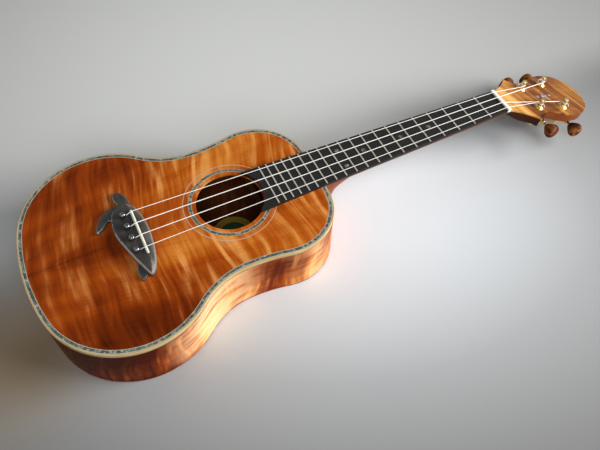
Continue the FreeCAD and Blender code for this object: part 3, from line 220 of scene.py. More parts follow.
# Broad tones of the top, placed to follow the photo: middle and reach in metres, and shift in tone.
TOP_TONES = (((0.015, 0.008), (0.110, 0.085), 0.17), ((0.115, 0.010), (0.085, 0.170), 0.24),
             ((-0.070, -0.095), (0.100, 0.070), -0.22), ((-0.028, 0.075), (0.060, 0.060), -0.17),
             ((-0.100, 0.075), (0.060, 0.060), -0.07), ((-0.145, -0.040), (0.060, 0.050), 0.03),
             ((0.012, -0.070), (0.055, 0.040), -0.08), ((-0.085, -0.018), (0.085, 0.020), -0.04),
             ((-0.005, -0.026), (0.050, 0.034), 0.22), ((0.075, -0.068), (0.040, 0.035), -0.08))
TOP_GRAIN_LEAN = 0.15     # slope of the grain's lines from the centreline
TOP_CURL_LEAN = 0.10      # slope of the curl from square across, the same way on both halves
SEAM = 1.2 * MM           # width of the darker seam on each side of the centreline
# The same for the sides: middle and reach along the body, shift in tone, and share of the painted sheen.
SIDE_TONES = ((-0.008, 0.058, 0.07, 0.78), (0.036, 0.030, 0.00, 0.30), (0.064, 0.024, -0.24, 0.0),
              (0.092, 0.018, 0.00, 0.12), (0.116, 0.022, 0.07, 0.45))
# Colour of the painted sheen about the waist, pale streaks that stand in for the floor and window mirrored in
# the side.
WAIST_PAINTED_SHEEN = (0.900, 0.655, 0.360)
SIDE_DARK_TO = 0.24       # shares of the side's length from the tail, between which the side turns from darker to lighter
SIDE_LIGHT_FROM = 0.46
SIDE_RUN_LEAN = 0.45      # how much the grain's run counts the distance across the body


def koa_top():
    """The book-matched top, its grain mirrored about the centreline under broad lighter and darker tones."""
    g = Graph("koa top")
    x, y, z = g.position()
    mirrored = g.math("ABSOLUTE", y)
    across = g.math("SUBTRACT", mirrored, g.math("MULTIPLY", x, TOP_GRAIN_LEAN))
    along = g.math("SUBTRACT", x, g.math("MULTIPLY", y, TOP_CURL_LEAN))
    light = g.sway(0.03, g.noise(g.scaled(x, y, z, 9, 9, 9), detail=1), 0.20)
    for middle, reach, shift in TOP_TONES:
        light = g.math("ADD", light, g.math("MULTIPLY", g.spot(x, y, middle, reach), shift))
    colour, lines, pores = figured(g, along, across, z, 0.18, light)
    colour = g.mix(g.span(mirrored, 0.0, SEAM, 0.35, 0.0), colour, KOA[0])
    return satin(g, colour, lines, pores)


def koa_side():
    """Sides: flame bands stand upright, with painted sheen in pale streaks about the waist, and darker towards
    the tail.
    """
    g = Graph("koa side")
    x, y, z = g.position()
    lo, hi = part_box("side_treble")
    run = g.math("SUBTRACT", x, g.math("MULTIPLY", y, SIDE_RUN_LEAN))
    length = hi.x - lo.x
    light = g.span(x, lo.x + SIDE_DARK_TO * length, lo.x + SIDE_LIGHT_FROM * length, -0.34, 0.16)
    pale = 0.0
    for middle, reach, shift, share in SIDE_TONES:
        near = g.span(g.math("ABSOLUTE", g.math("SUBTRACT", x, middle)), 0.0, reach, 1.0, 0.0)
        light = g.math("ADD", light, g.math("MULTIPLY", near, shift))
        if share:
            pale = g.math("ADD", pale, g.math("MULTIPLY", near, share))
    colour, lines, pores = figured(g, run, z, y, 0.15, light, curl=1.35, curl_pitch=0.9)
    # Painted sheen: pale streaks about the waist stand in for the floor and window mirrored in the side.
    sheen_streaks = g.noise(g.scaled(run, z, y, 30, 160, 30), detail=2)
    pale = g.math("MULTIPLY", pale, g.span(sheen_streaks, 0.34, 0.56, 0.22, 1.0), clamp=True)
    colour = g.mix(pale, colour, WAIST_PAINTED_SHEEN)
    return satin(g, colour, lines, pores, specular=0.025)


def koa_back():
    """The book-matched back, dull brown on its inner face."""
    g = Graph("koa back")
    x, y, z = g.position()
    mirrored = g.math("ABSOLUTE", y)
    colour, lines, pores = figured(g, x, mirrored, z, 0.5, 0.02)
    colour = g.mix(g.span(mirrored, 0.0, 1.0 * MM, 0.4, 0.0), colour, KOA[0])
    _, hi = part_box("back_plate")
    colour = g.mix(g.span(z, hi.z - 0.5 * MM, hi.z - 0.2 * MM, 0.0, 0.8), colour, INSIDE[0])
    return satin(g, colour, lines, pores)


HEAD_GRAIN = math.radians(74)     # turn of the veneer's grain in its plane
HEAD_KOA = ((0.080, 0.0160, 0.0026), (0.180, 0.0500, 0.0080), (0.345, 0.130, 0.0215), (0.525, 0.230, 0.0500),
            (0.730, 0.390, 0.115))


def koa_head(tilt):
    """The head's veneer: golden, most so at the nut, with thin dark lines that slant across it.

    tilt turns the grain's frame into the head's plane.
    """
    g = Graph("koa head")
    x, y, z = g.position((0, tilt, HEAD_GRAIN))
    place, _, _ = g.position()
    lo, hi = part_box("head_plate")
    length = hi.x - lo.x
    near = g.span(place, lo.x + 0.12 * length, lo.x + 0.40 * length, 0.27, -0.05)
    far = g.span(place, lo.x + 0.60 * length, hi.x, 0.0, -0.02)
    band = g.noise(g.scaled(x, y, z, 9, 110, 30), detail=2, roughness=0.6)
    light = g.sway(g.math("ADD", near, far), band, 0.85)
    colour, lines, pores = figured(g, x, y, z, 0.3, light, palette=HEAD_KOA, gold=HEAD_KOA[-1], curl=0.5)
    thin = g.span(g.noise(g.scaled(x, y, z, 7, 290, 40), detail=2), 0.55, 0.66, 0.0, 0.80)
    stripe = g.math("MULTIPLY", thin, g.span(place, lo.x + 0.2 * length, lo.x + 0.4 * length, 0.1, 1.0))
    colour = g.mix(stripe, colour, KOA[0])
    return satin(g, colour, lines, pores, specular=0.14)


# Painted shade under the head's flare.
FLARE_PAINTED_SHADE = (0.016, 0.007, 0.004)
MAHOGANY = ((0.060, 0.012, 0.004), (0.115, 0.024, 0.008), (0.180, 0.042, 0.012), (0.250, 0.066, 0.018),
            (0.320, 0.098, 0.028))


def mahogany():
    """The neck's wood, with painted shade that makes it nearly black under the head's flare, where the photo
    shows it so.
    """
    g = Graph("mahogany")
    x, y, z = g.position()
    colour, lines, pores = figured(g, x, y, z, 0.0, 0.02, palette=MAHOGANY, gold=MAHOGANY[-1], curl=0.3)
    lo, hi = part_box("head_plate")
    length = hi.x - lo.x
    # Painted shade: nearly black from the head's start to about two fifths along it.
    starts = g.span(x, lo.x - 0.03 * length, lo.x + 0.02 * length, 0.0, 0.85)
    ends = g.span(x, lo.x + 0.36 * length, lo.x + 0.42 * length, 1.0, 0.0)
    colour = g.mix(g.math("MULTIPLY", starts, ends), colour, FLARE_PAINTED_SHADE)
    return satin(g, colour, lines, pores, roughness=0.42, specular=0.08)


INSIDE = ((0.060, 0.022, 0.010), (0.090, 0.035, 0.015), (0.125, 0.050, 0.022), (0.160, 0.068, 0.030),
          (0.200, 0.090, 0.042))


def inside_wood():
    """Plain brown wood of the braces, linings and blocks."""
    g = Graph("inside wood")
    x, y, z = g.position()
    colour, lines, pores = figured(g, x, y, z, 0.0, 0.04, palette=INSIDE, gold=INSIDE[-1], curl=0.2)
    return satin(g, colour, lines, pores, roughness=0.6, specular=0.2)


def ebony():
    """The fretboard's near-black wood, matt and fine in grain."""
    g = Graph("ebony")
    x, y, z = g.position()
    lines = g.noise(g.scaled(x, y, z, 10, 500, 200), detail=4, roughness=0.6)
    pores = g.noise(g.scaled(x, y, z, 110, 2200, 600), detail=1)
    colour = g.ramp(lines, ((0.3, (0.006, 0.006, 0.006)), (0.6, (0.012, 0.011, 0.010)),
                            (0.8, (0.026, 0.020, 0.017))))
    g.set(Base_Color=colour, Roughness=g.span(lines, 0.2, 0.8, 0.46, 0.60), Specular_IOR_Level=0.28)
    grain(g, lines, pores, 0.10)
    return g.material


# Colours of the painted sheen on the slopes and of the painted highlight on the edges that face the tail.
BRIDGE_PAINTED_SHEEN = (0.42, 0.39, 0.35)
BRIDGE_PAINTED_HIGHLIGHT = (0.62, 0.60, 0.55)


def bridge_wood():
    """Dark grey, oiled wood, with a painted sheen that makes its slopes paler and a painted highlight that
    makes the edges facing the tail palest.
    """
    g = Graph("bridge wood")
    x, y, z = g.position()
    lines = g.noise(g.scaled(x, y, z, 450, 14, 200), detail=4, roughness=0.6)
    cloud = g.noise(g.scaled(x, y, z, 45, 45, 45), detail=2)
    shade = g.total((lines, 0.45), (cloud, 0.55))
    colour = g.ramp(shade, ((0.3, (0.020, 0.018, 0.015)), (0.5, (0.042, 0.038, 0.033)),
                            (0.7, (0.080, 0.072, 0.062))))
    normal = g.add("SeparateXYZ", {0: g.add("NewGeometry", {}).outputs["Normal"]}).outputs
    # Painted sheen on every slope, and a painted highlight on the slopes that face the tail.
    sloping = g.span(normal[2], 0.62, 0.96, 1.0, 0.0)
    slope_sheen = g.math("MULTIPLY", sloping, g.span(normal[2], 0.05, 0.35))
    colour = g.mix(g.math("MULTIPLY", slope_sheen, 0.50), colour, BRIDGE_PAINTED_SHEEN)
    rear_highlight = g.math("MULTIPLY", slope_sheen, g.span(normal[0], -0.40, -0.10, 0.60, 0.0))
    colour = g.mix(rear_highlight, colour, BRIDGE_PAINTED_HIGHLIGHT)
    g.set(Base_Color=colour, Roughness=g.span(cloud, 0.3, 0.7, 0.26, 0.38), Specular_IOR_Level=0.25)
    g.bump(lines, 0.10, 0.2 * MM)
    return g.material


def button_wood():
    """Streaked dark wood of the tuner buttons."""
    g = Graph("button wood")
    x, y, z = g.position()
    lines = g.noise(g.scaled(x, y, z, 200, 24, 200), detail=3, roughness=0.55)
    cloud = g.noise(g.scaled(x, y, z, 75, 75, 75), detail=1)
    shade = g.total((lines, 0.5), (cloud, 0.5))
    colour = g.ramp(shade, ((0.38, (0.030, 0.006, 0.002)), (0.48, (0.095, 0.023, 0.006)),
                            (0.56, (0.250, 0.080, 0.016)), (0.68, (0.520, 0.235, 0.060))))
    g.set(Base_Color=colour, Roughness=g.span(cloud, 0.3, 0.7, 0.48, 0.60), Specular_IOR_Level=0.08)
    g.bump(lines, 0.10, 0.2 * MM)
    return g.material


# ---- Trim, shell, metal and the rest ----------------------------------------------------------
def cream():
    """The binding's cream plastic, faintly layered."""
    g = Graph("cream binding")
    x, y, z = g.position()
    streak = g.noise(g.scaled(x, y, z, 25, 25, 900), detail=3)
    cloud = g.noise(g.scaled(x, y, z, 40, 40, 40), detail=2)
    shade = g.total((streak, 0.4), (cloud, 0.6))
    colour = g.ramp(shade, ((0.3, (0.360, 0.235, 0.085)), (0.5, (0.470, 0.330, 0.140)),
                            (0.7, (0.560, 0.420, 0.200))))
    g.set(Base_Color=colour, Roughness=g.span(cloud, 0.3, 0.7, 0.28, 0.38), Subsurface_Weight=0.08)
    g.shader.inputs["Subsurface Radius"].default_value = (0.002, 0.0015, 0.001)
    return g.material


def dark_line():
    """The dark line under the binding."""
    g = Graph("dark line")
    x, y, z = g.position()
    cloud = g.noise(g.scaled(x, y, z, 300, 300, 300), detail=3)
    colour = g.ramp(cloud, ((0.3, (0.020, 0.010, 0.007)), (0.7, (0.070, 0.035, 0.022))))
    g.set(Base_Color=colour, Roughness=g.span(cloud, 0.3, 0.7, 0.35, 0.45))
    return g.material


SHELL_SEAM = (0.030, 0.035, 0.030)


def shell(name, stops, cells_per_metre=340.0):
    """Pieces of nacre laid edge to edge, each with its own colour and fine growth lines."""
    g = Graph(name)
    x, y, z = g.position()
    place = g.scaled(x, y, z, 1, 1, 0.2)
    cells = g.add("TexVoronoi", {"Vector": place, "Scale": cells_per_metre})
    seams = g.add("TexVoronoi", {"Vector": place, "Scale": cells_per_metre}, feature="DISTANCE_TO_EDGE")
    own = g.add("SeparateColor", {0: cells.outputs["Color"]}).outputs[0]
    warp = g.math("MULTIPLY", g.noise(place, scale=700, detail=2), 0.9)
    growth = g.add("TexWave", {"Vector": place, "Scale": 260.0, "Distortion": 9.0, "Detail": 2.0})
    shade = g.sway(g.total((own, 0.55), (warp, 0.45)), growth.outputs["Fac"], 0.22)
    colour = g.ramp(shade, stops)
    seam = g.span(seams.outputs["Distance"], 0.0, 0.10, 0.75, 0.0)
    colour = g.mix(seam, colour, SHELL_SEAM)
    g.set(Base_Color=colour, Roughness=g.span(own, 0.0, 1.0, 0.16, 0.30), Specular_IOR_Level=0.6)
    g.set(Metallic=0.25, Coat_Weight=0.4, Coat_Roughness=0.1)
    return g.material


ABALONE = ((0.15, (0.030, 0.045, 0.035)), (0.38, (0.085, 0.115, 0.082)), (0.52, (0.190, 0.240, 0.175)),
           (0.62, (0.105, 0.185, 0.150)), (0.72, (0.520, 0.550, 0.440)), (0.86, (0.340, 0.290, 0.260)))
PEARL = ((0.2, (0.18, 0.20, 0.26)), (0.45, (0.42, 0.46, 0.55)), (0.65, (0.32, 0.42, 0.50)),
         (0.85, (0.66, 0.66, 0.70)))


def plain(name, low, high, roughness, scale=400.0, **settings):
    """A quiet material with slight unevenness in colour and sheen. The scale is repeats per metre."""
    g = Graph(name)
    x, y, z = g.position()
    cloud = g.noise(g.scaled(x, y, z, scale, scale, scale), detail=3)
    g.set(Base_Color=g.ramp(cloud, ((0.3, low), (0.7, high))),
          Roughness=g.span(cloud, 0.3, 0.7, roughness * 0.85, roughness * 1.15), **settings)
    return g.material


def label_paper():
    """An ochre disc with a dark green middle."""
    g = Graph("label paper")
    x, y, z = g.position()
    lo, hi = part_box("label")
    dx = g.math("SUBTRACT", x, (lo.x + hi.x) / 2)
    dy = g.math("SUBTRACT", y, (lo.y + hi.y) / 2)
    fibre = g.noise(g.scaled(x, y, z, 600, 600, 600), detail=3)
    ochre = g.ramp(fibre, ((0.3, (0.34, 0.22, 0.012)), (0.7, (0.46, 0.31, 0.030))))
    green = g.ramp(fibre, ((0.3, (0.010, 0.050, 0.012)), (0.7, (0.025, 0.090, 0.025))))
    edge = (hi.x - lo.x) / 2
    disc = g.span(g.length(dx, dy), 0.66 * edge, 0.70 * edge, 1.0, 0.0)
    g.set(Base_Color=g.mix(disc, ochre, green), Roughness=0.6)
    return g.material


def make_materials():
    """The materials by name.

    The names are the record's slots, and four looks that it counts with another slot: koa_back with the sides,
    pearl with the shell, and pale_line and trim_line with the bone and the dark line.
    """
    axis = Vector(JOINTS["post_turn_g"]["axis"])
    head_tilt = math.atan2(axis.x, axis.z)
    return {
        "koa_top": koa_top(),
        "koa_side": koa_side(),
        "koa_back": koa_back(),
        "koa_head": koa_head(-head_tilt),
        "mahogany": mahogany(),
        "inside_wood": inside_wood(),
        "ebony": ebony(),
        "bridge_wood": bridge_wood(),
        "button_wood": button_wood(),
        "cream": cream(),
        "dark_line": dark_line(),
        "shell": shell("abalone", ABALONE),
        "pearl": shell("pearl", PEARL, 260.0),
        "pale_line": plain("pale line", (0.50, 0.33, 0.23), (0.62, 0.43, 0.32), 0.35),
        "trim_line": plain("trim line", (0.34, 0.29, 0.23), (0.55, 0.50, 0.42), 0.35, 900.0),
        "white_bone": plain("bone", (0.74, 0.70, 0.58), (0.84, 0.81, 0.71), 0.35, 180.0,
                            Subsurface_Weight=0.1),
        "nylon": plain("nylon", (0.86, 0.83, 0.77), (0.93, 0.91, 0.86), 0.25, 150.0),
        "black_gloss": plain("black gloss", (0.006, 0.006, 0.006), (0.012, 0.012, 0.012), 0.13, 120.0,
                             IOR=2.1),
        "fret_metal": plain("fret metal", (0.55, 0.51, 0.43), (0.68, 0.64, 0.55), 0.36, 300.0,
                            Metallic=0.45),
        "gold": plain("gold plate", (0.66, 0.49, 0.22), (0.78, 0.62, 0.34), 0.24, 220.0, Metallic=1.0),
        "steel": plain("steel", (0.36, 0.36, 0.37), (0.52, 0.52, 0.53), 0.32, 260.0, Metallic=1.0),
        "paper": label_paper(),
    }


# The CAD nodes that wear each material.
NODES_OF = {
    "koa_top": ("soundboard",),
    "koa_side": ("side_bass", "side_treble", "end_strip"),
    "koa_back": ("back_plate",),
    "koa_head": ("head_plate",),
    "mahogany": ("neck", "heel_cap"),
    "inside_wood": ("neck_block", "tail_block", "top_lining", "back_lining", "transverse_braces",
                    "fan_braces", "back_braces", "bridge_plate"),
    "ebony": ("fretboard",),
    "bridge_wood": ("bridge",),
    "cream": ("top_binding",),
    "dark_line": ("side_line",),
    "trim_line": ("purfling_lines", "rosette_lines"),
    "shell": ("purfling_shell", "rosette_shell", "position_dots"),
    "pearl": ("head_inlay",),
    "pale_line": ("rosette_outer_ring",),
    "white_bone": ("nut", "saddle"),
    "black_gloss": ("bridge_pins",),
    "fret_metal": ("frets",),
    "gold": ("tuner_bushings", "tuner_screws"),
    "steel": ("neck_bolts", "neck_inserts"),
    "paper": ("label",),
}
# The material of each node that comes once for every string, by the start of its name.
STRING_MATERIALS = {"string_": "nylon", "string_turns_": "nylon", "tuner_case_": "gold", "tuner_post_": "gold",
                    "tuner_worm_": "gold", "tuner_button_": "button_wood"}


def dress(node, material):
    """Gives a CAD node its material in every slot."""
    slots = NODES[node].data.materials
    for n in range(len(slots)):
        slots[n] = material
    if not slots:
        slots.append(material)


def dress_nodes(materials):
    """Gives every CAD node its material."""
    for material, nodes in NODES_OF.items():
        for node in nodes:
            dress(node, materials[material])
    for start, material in STRING_MATERIALS.items():
        for name in STRINGS:
            dress(start + name, materials[material])


# ---- Pieces -----------------------------------------------------------------------------------
def piece_from(mesh, name, body, material):
    """Links a mesh or a curve as a piece that rides on a body."""
    piece = bpy.data.objects.new(name, mesh)
    bpy.context.scene.collection.objects.link(piece)
    mesh.materials.append(material)
    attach(piece, body)
    return piece


# Bridge outlines in millimetres from the middle of the saddle, forwards and to the bass side.
BRIDGE_BODY = ((2.4, 36.0), (7.2, 24.3), (10.0, 9.0), (9.9, -6.0), (8.1, -22.0), (4.4, -37.5), (-0.6, -48.3),
               (-5.0, -50.2), (-9.4, -39.5), (-14.0, -27.0), (-18.5, -12.0), (-22.4, 3.5), (-22.4, 17.5),
               (-18.5, 31.0), (-9.0, 38.5))
FLUKES = ((1.0, 30.0), (2.0, 40.0), (0.6, 49.0), (-2.6, 55.0), (-7.0, 57.8), (-11.2, 55.0), (-11.8, 49.0),
          (-10.3, 41.0), (-19.9, 40.2), (-25.5, 37.6), (-30.6, 33.4), (-35.7, 25.0), (-38.4, 16.0),
          (-31.0, 19.6), (-23.5, 26.2), (-17.0, 19.0), (-5.0, 24.0))
FLUKE_CORNERS = (7, 12, 15)
FIN = ((-11.5, -28.0), (-14.7, -37.0), (-15.1, -45.0), (-13.3, -52.2), (-9.5, -50.0), (-6.5, -46.0),
       (-4.0, -38.0))
FIN_CORNERS = (0, 3, 5)
# Each part of the bridge: outline and its corners, heights of its edge and its middle as shares of the
# bridge's, and how many millimetres its rounding reaches in from the edge, behind and in front of the saddle.
BRIDGE_PARTS = ((BRIDGE_BODY, (), 0.47, 1.0, 2.2, 7.0),
                (FLUKES, FLUKE_CORNERS, 0.38, 0.53, 2.4, 2.4),
                (FIN, FIN_CORNERS, 0.30, 0.42, 2.0, 2.0))
CURVE_STEPS = 10          # steps from one outline point to the next
GRID_PITCH = 1.1          # millimetres between the points inside an outline
GRID_CLEAR = 0.45         # share of the pitch that they keep from the outline
FRONT_FROM = -3.0         # millimetres from the saddle where the front slope begins
FRONT_OVER = 4.0          # and over which it grows to its full share
FRONT_STRAIGHT = 0.6      # share of a straight slope in the front's rounding
BRIDGE_SMOOTH = 40        # degrees under which the bridge's faces are smoothed


def closed_curve(points, corners):
    """Points along a smooth closed line through the given points, sharp at the corners."""
    count = len(points)
    place = [np.array(p, float) for p in points]
    line = []
    for n in range(count):
        before, start, end, after = (place[(n + k) % count] for k in (-1, 0, 1, 2))
        leaving = (end - start) if n in corners else (end - before) / 2
        arriving = (end - start) if (n + 1) % count in corners else (after - start) / 2
        for step in range(CURVE_STEPS):
            t = step / CURVE_STEPS
            line.append((2 * t ** 3 - 3 * t ** 2 + 1) * start + (t ** 3 - 2 * t ** 2 + t) * leaving
                        + (3 * t ** 2 - 2 * t ** 3) * end + (t ** 3 - t ** 2) * arriving)
    return np.array(line)


def edge_distance(points, outline):
    """Each point's distance from a closed outline."""
    start = outline
    step = np.roll(outline, -1, axis=0) - start
    offset = points[:, None, :] - start[None, :, :]
    along = np.clip((offset * step).sum(2) / (step * step).sum(1), 0, 1)
    return np.sqrt(((offset - along[:, :, None] * step) ** 2).sum(2)).min(1)


def filled(outline):
    """Points and triangles that fill an outline."""
    lo = outline.min(0)
    hi = outline.max(0)
    columns = np.arange(lo[0], hi[0], GRID_PITCH)
    rows = np.arange(lo[1], hi[1], GRID_PITCH)
    grid = np.array([(x, y) for x in columns for y in rows])
    grid = grid[edge_distance(grid, outline) > GRID_PITCH * GRID_CLEAR]
    points = [Vector(p) for p in outline] + [Vector(p) for p in grid]
    loop = list(range(len(outline)))
    flat, _, faces, _, _, _ = delaunay_2d_cdt(points, [], [loop], 1, 1e-5)
    return np.array([tuple(p) for p in flat]), faces


def add_pillow(mesh, outline, origin, edge, height, back_roll, front_roll):
    """Adds a solid with upright sides and a rounded-over top, which may slope longer in front."""
    flat, faces = filled(outline)
    front = np.clip((flat[:, 0] - FRONT_FROM) / FRONT_OVER, 0.0, 1.0)
    far = np.minimum(edge_distance(flat, outline) / (back_roll + (front_roll - back_roll) * front), 1.0)
    rounded = np.sqrt(1 - (1 - far) ** 2)
    tops = edge + (height - edge) * (rounded + FRONT_STRAIGHT * front * (far - rounded))
    verts = [mesh.verts.new(origin + Vector((p[0], p[1], t)) * MM) for p, t in zip(flat, tops)]
    rim = {}
    for face in faces:
        mesh.faces.new([verts[i] for i in face])
        for a, b in zip(face, face[1:] + face[:1]):
            if (b, a) in rim:
                del rim[(b, a)]
            else:
                rim[(a, b)] = True
    low = {}
    for a, _ in rim:
        low[a] = mesh.verts.new(origin + Vector((flat[a][0], flat[a][1], 0)) * MM)
    for a, b in rim:
        mesh.faces.new((verts[b], verts[a], low[a], low[b]))
    following = dict(rim.keys())
    first = next(iter(following))
    foot = [first]
    while following[foot[-1]] != first:
        foot.append(following[foot[-1]])
    mesh.faces.new([low[i] for i in reversed(foot)])


def make_bridge(materials):
    """The whale-shaped bridge, with rounded edges and a step where the flukes and the fin meet the body."""
    saddle_lo, saddle_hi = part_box("saddle")
    lo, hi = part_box("bridge")
    origin = Vector(((saddle_lo.x + saddle_hi.x) / 2, 0, lo.z))
    height = (hi.z - lo.z) / MM
    mesh = bmesh.new()
    for outline, corners, edge, middle, back_roll, front_roll in BRIDGE_PARTS:
        add_pillow(mesh, closed_curve(outline, corners), origin, edge * height, middle * height, back_roll,
                   front_roll)
    bmesh.ops.recalc_face_normals(mesh, faces=mesh.faces)
    data = bpy.data.meshes.new("bridge_carving")
    mesh.to_mesh(data)
    mesh.free()
    piece = piece_from(data, "bridge_carving", "instrument", materials["bridge_wood"])
    piece.data.shade_smooth()
    piece.data.set_sharp_from_angle(angle=math.radians(BRIDGE_SMOOTH))
    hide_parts("bridge")


TURN_COUNT = 3
STEPS_PER_TURN = 28
TURN_START = math.radians(35)     # where on the post the lowest turn begins
# A string's loose tail past its last turn, in millimetres on round the post, out from it and up along it.
TAIL = ((1.6, 0.0, 0.8), (3.0, 0.6, 1.0), (4.4, 1.8, 0.4), (5.2, 3.0, -1.0))


def coil(name):
    """Middle line of a string's turns with a loose tail, and the string's radius, both from the CAD turns."""
    joint = JOINTS["post_turn_" + name]
    up = Vector(joint["axis"])
    centre = Vector(joint["pos_m"])
    offsets = [v.co - centre for v in NODES["string_turns_" + name].data.vertices]
    levels = [offset.dot(up) for offset in offsets]
    radii = [offset.cross(up).length for offset in offsets]
    thick = (max(radii) - min(radii)) / 2
    middle = (max(radii) + min(radii)) / 2
    low = min(levels) + thick
    high = max(levels) - thick
    side = 1 if centre.y > 0 else -1
    across = up.cross(Vector((0, 1, 0))).normalized()
    forward = up.cross(across)
    line = []
    for n in range(TURN_COUNT * STEPS_PER_TURN + 1):
        angle = side * 2 * math.pi * n / STEPS_PER_TURN + TURN_START
        level = low + (high - low) * n / (TURN_COUNT * STEPS_PER_TURN)
        line.append(centre + up * level + (across * math.cos(angle) + forward * math.sin(angle)) * middle)
    last = line[-1]
    out = (last - centre - up * high).normalized()
    heading = out.cross(up) * side
    for on, away, rise in TAIL:
        line.append(last + heading * on * MM + out * away * MM + up * rise * MM)
    return line, thick


def make_turns(materials):
    """Each string's turns on its post: a coil with a short loose tail."""
    for name in STRINGS:
        line, thick = coil(name)
        curve = bpy.data.curves.new("turns_" + name, "CURVE")
        curve.dimensions = "3D"
        curve.bevel_depth = thick
        curve.bevel_resolution = 4
        curve.use_fill_caps = True
        spline = curve.splines.new("NURBS")
        spline.points.add(len(line) - 1)
        for point, place in zip(spline.points, line):
            point.co = (*place, 1.0)
        spline.order_u = 3
        spline.use_endpoint_u = True
        piece = piece_from(curve, "turns_" + name, "post_" + name, materials["nylon"])
        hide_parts("string_turns_" + name)


# ---- Surroundings -----------------------------------------------------------------------------
FLOOR_HALF = 4.0          # metres from the floor's middle to its edges
FLOOR_DROP = 0.5 * MM     # below the instrument's back
# The paper's paint is fitted to the photo's floor, and paints its light and shade. On the treble side it is a
# painted pool of light that leans with the neck: slope, middle and reach in metres, and tones from its rim to
# its middle.
GLOW_LEAN = 0.309
GLOW_MIDDLE = (0.173, -0.003)
GLOW_REACH = (0.572, 0.464)
GLOW_TONES = ((0.12, (0.205, 0.205, 0.205)), (0.5, (0.412, 0.426, 0.436)), (1.0, (0.858, 0.900, 0.940)))
# The same on the bass side, where the glow is wider, duller and square to the frame.
FAR_MIDDLE = (0.136, 0.243)
FAR_REACH = (0.851, 0.895)
FAR_TONES = ((0.0, (0.256, 0.256, 0.252)), (1.0, (0.655, 0.670, 0.655)))
FAR_FROM = (0.002, 0.100)     # metres to the bass side over which one passes into the other
# The floor's pattern lies round this place, and has faded to one even tone at this many metres from it.
PATTERN_MIDDLE = (0.20, 0.08)
FLOOR_EVEN_FROM = 0.74
FLOOR_EVEN = (0.32, 0.32, 0.32)
# Painted shadow at the tail, warm brown: middle, reach, share and colour.
FLOOR_PAINTED_SHADOWS = (((-0.190, -0.030), (0.160, 0.130), 0.80, (0.275, 0.195, 0.100)),
                ((-0.160, -0.048), (0.075, 0.056), 0.50, (0.150, 0.088, 0.030)))


def floor_paper():
    """Grey paper with painted light and shade: brightest beside the neck, duller towards the edges, with
    painted shadow at the tail.
    """
    g = Graph("floor paper")
    x, y, _ = g.position()
    # Painted pool of light and its falloff.
    leaning = g.math("ADD", x, g.math("MULTIPLY", y, GLOW_LEAN))
    near = g.ramp(g.spot(leaning, y, GLOW_MIDDLE, GLOW_REACH), GLOW_TONES)
    far = g.ramp(g.spot(x, y, FAR_MIDDLE, FAR_REACH), FAR_TONES)
    colour = g.mix(g.span(y, *FAR_FROM), near, far)
    inner = g.spot(x, y, PATTERN_MIDDLE, (FLOOR_EVEN_FROM, FLOOR_EVEN_FROM))
    colour = g.mix(g.span(inner, 0.0, 0.16, 1.0, 0.0), colour, FLOOR_EVEN)
    # Painted shadow at the tail.
    for middle, reach, share, tint in FLOOR_PAINTED_SHADOWS:
        colour = g.mix(g.math("MULTIPLY", g.spot(x, y, middle, reach), share), colour, tint)
    g.set(Base_Color=colour, Roughness=0.55, Specular_IOR_Level=0.25)
    return g.material


def make_floor():
    """A flat sheet under the instrument."""
    mesh = bmesh.new()
    bmesh.ops.create_grid(mesh, x_segments=1, y_segments=1, size=FLOOR_HALF)
    data = bpy.data.meshes.new("floor")
    mesh.to_mesh(data)
    mesh.free()
    data.materials.append(floor_paper())
    floor = bpy.data.objects.new("floor", data)
    floor.location = (0, 0, -FLOOR_DROP)
    bpy.context.scene.collection.objects.link(floor)


# Each lamp: name, place, the point that it faces, size, watts and colour. The window stands beyond the head,
# the overhead lamp is high on the treble side, and a weak fill comes from behind the tail.
LAMPS = (("window", (3.00, -1.45, 1.25), (0.05, 0.0, 0.03), (2.2, 1.3), 205.0, (1.0, 0.985, 0.96)),
         ("overhead", (-0.3, -1.9, 1.9), (0.1, 0.0, 0.0), (1.8, 1.8), 33.0, (0.97, 0.98, 1.0)),
         ("fill", (-1.5, 1.3, 1.6), (0.0, 0.0, 0.0), (1.4, 1.4), 6.0, (1.0, 0.96, 0.90)))


def make_lamp(name, place, target, size, power, colour):
    """A soft area lamp that faces a point."""
    lamp = bpy.data.lights.new(name, "AREA")
    lamp.shape = "RECTANGLE"
    lamp.size, lamp.size_y = size
    lamp.energy = power
    lamp.color = colour
    holder = bpy.data.objects.new(name, lamp)
    holder.location = place
    holder.rotation_euler = (Vector(target) - Vector(place)).to_track_quat("-Z", "Y").to_euler()
    bpy.context.scene.collection.objects.link(holder)


ROOM_COLOUR = (0.93, 0.95, 1.0)
# Strength of the room as light, and as seen directly, in a reflection or through glass.
ROOM_LIGHT = 0.11
ROOM_SEEN = 0.50


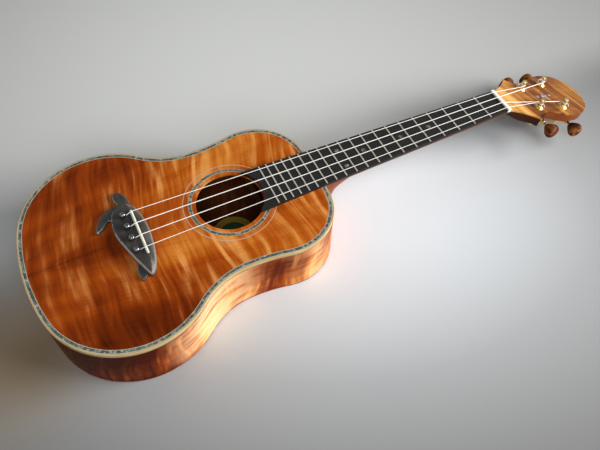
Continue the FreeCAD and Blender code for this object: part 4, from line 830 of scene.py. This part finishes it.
def make_room():
    """A dim, even room, which is brighter to look at than the light it gives."""
    world = bpy.data.worlds.new("room")
    world.use_nodes = True
    nodes = world.node_tree.nodes
    links = world.node_tree.links
    background = nodes["Background"]
    background.inputs[0].default_value = (*ROOM_COLOUR, 1.0)
    path = nodes.new("ShaderNodeLightPath")
    seen = path.outputs["Is Camera Ray"]
    for ray in ("Is Glossy Ray", "Is Transmission Ray"):
        either = nodes.new("ShaderNodeMath")
        either.operation = "MAXIMUM"
        links.new(seen, either.inputs[0])
        links.new(path.outputs[ray], either.inputs[1])
        seen = either.outputs[0]
    strength = nodes.new("ShaderNodeMath")
    strength.operation = "MULTIPLY_ADD"
    strength.inputs[1].default_value = ROOM_SEEN - ROOM_LIGHT
    strength.inputs[2].default_value = ROOM_LIGHT
    links.new(seen, strength.inputs[0])
    links.new(strength.outputs[0], background.inputs[1])
    bpy.context.scene.world = world


# The camera fitted to the photo: focal length and sensor width in millimetres, place in metres and direction.
CAMERA_LENS = 37.67
CAMERA_SENSOR = 36.0
CAMERA_PLACE = (-0.0588, -0.3705, 0.5825)
CAMERA_VIEW = (0.26528, 0.49850, -0.82530)
CAMERA_ROLL = math.radians(2.150)


def make_camera():
    """Looks down on the soundboard from the treble side, slightly rolled."""
    data = bpy.data.cameras.new("camera")
    data.lens = CAMERA_LENS
    data.sensor_width = CAMERA_SENSOR
    data.clip_start = 0.01
    camera = bpy.data.objects.new("camera", data)
    forward = Vector(CAMERA_VIEW).normalized()
    level = forward.cross(Vector((0, 0, 1))).normalized()
    above = level.cross(forward)
    right = level * math.cos(CAMERA_ROLL) + above * math.sin(CAMERA_ROLL)
    up = right.cross(forward)
    turn = Matrix((right, up, -forward)).transposed()
    camera.matrix_world = Matrix.Translation(CAMERA_PLACE) @ turn.to_4x4()
    bpy.context.scene.collection.objects.link(camera)
    bpy.context.scene.camera = camera


make_camera()
materials = make_materials()
dress_nodes(materials)
make_bridge(materials)
make_turns(materials)
make_floor()
for lamp in LAMPS:
    make_lamp(*lamp)
make_room()
bpy.context.scene.view_settings.view_transform = "Standard"
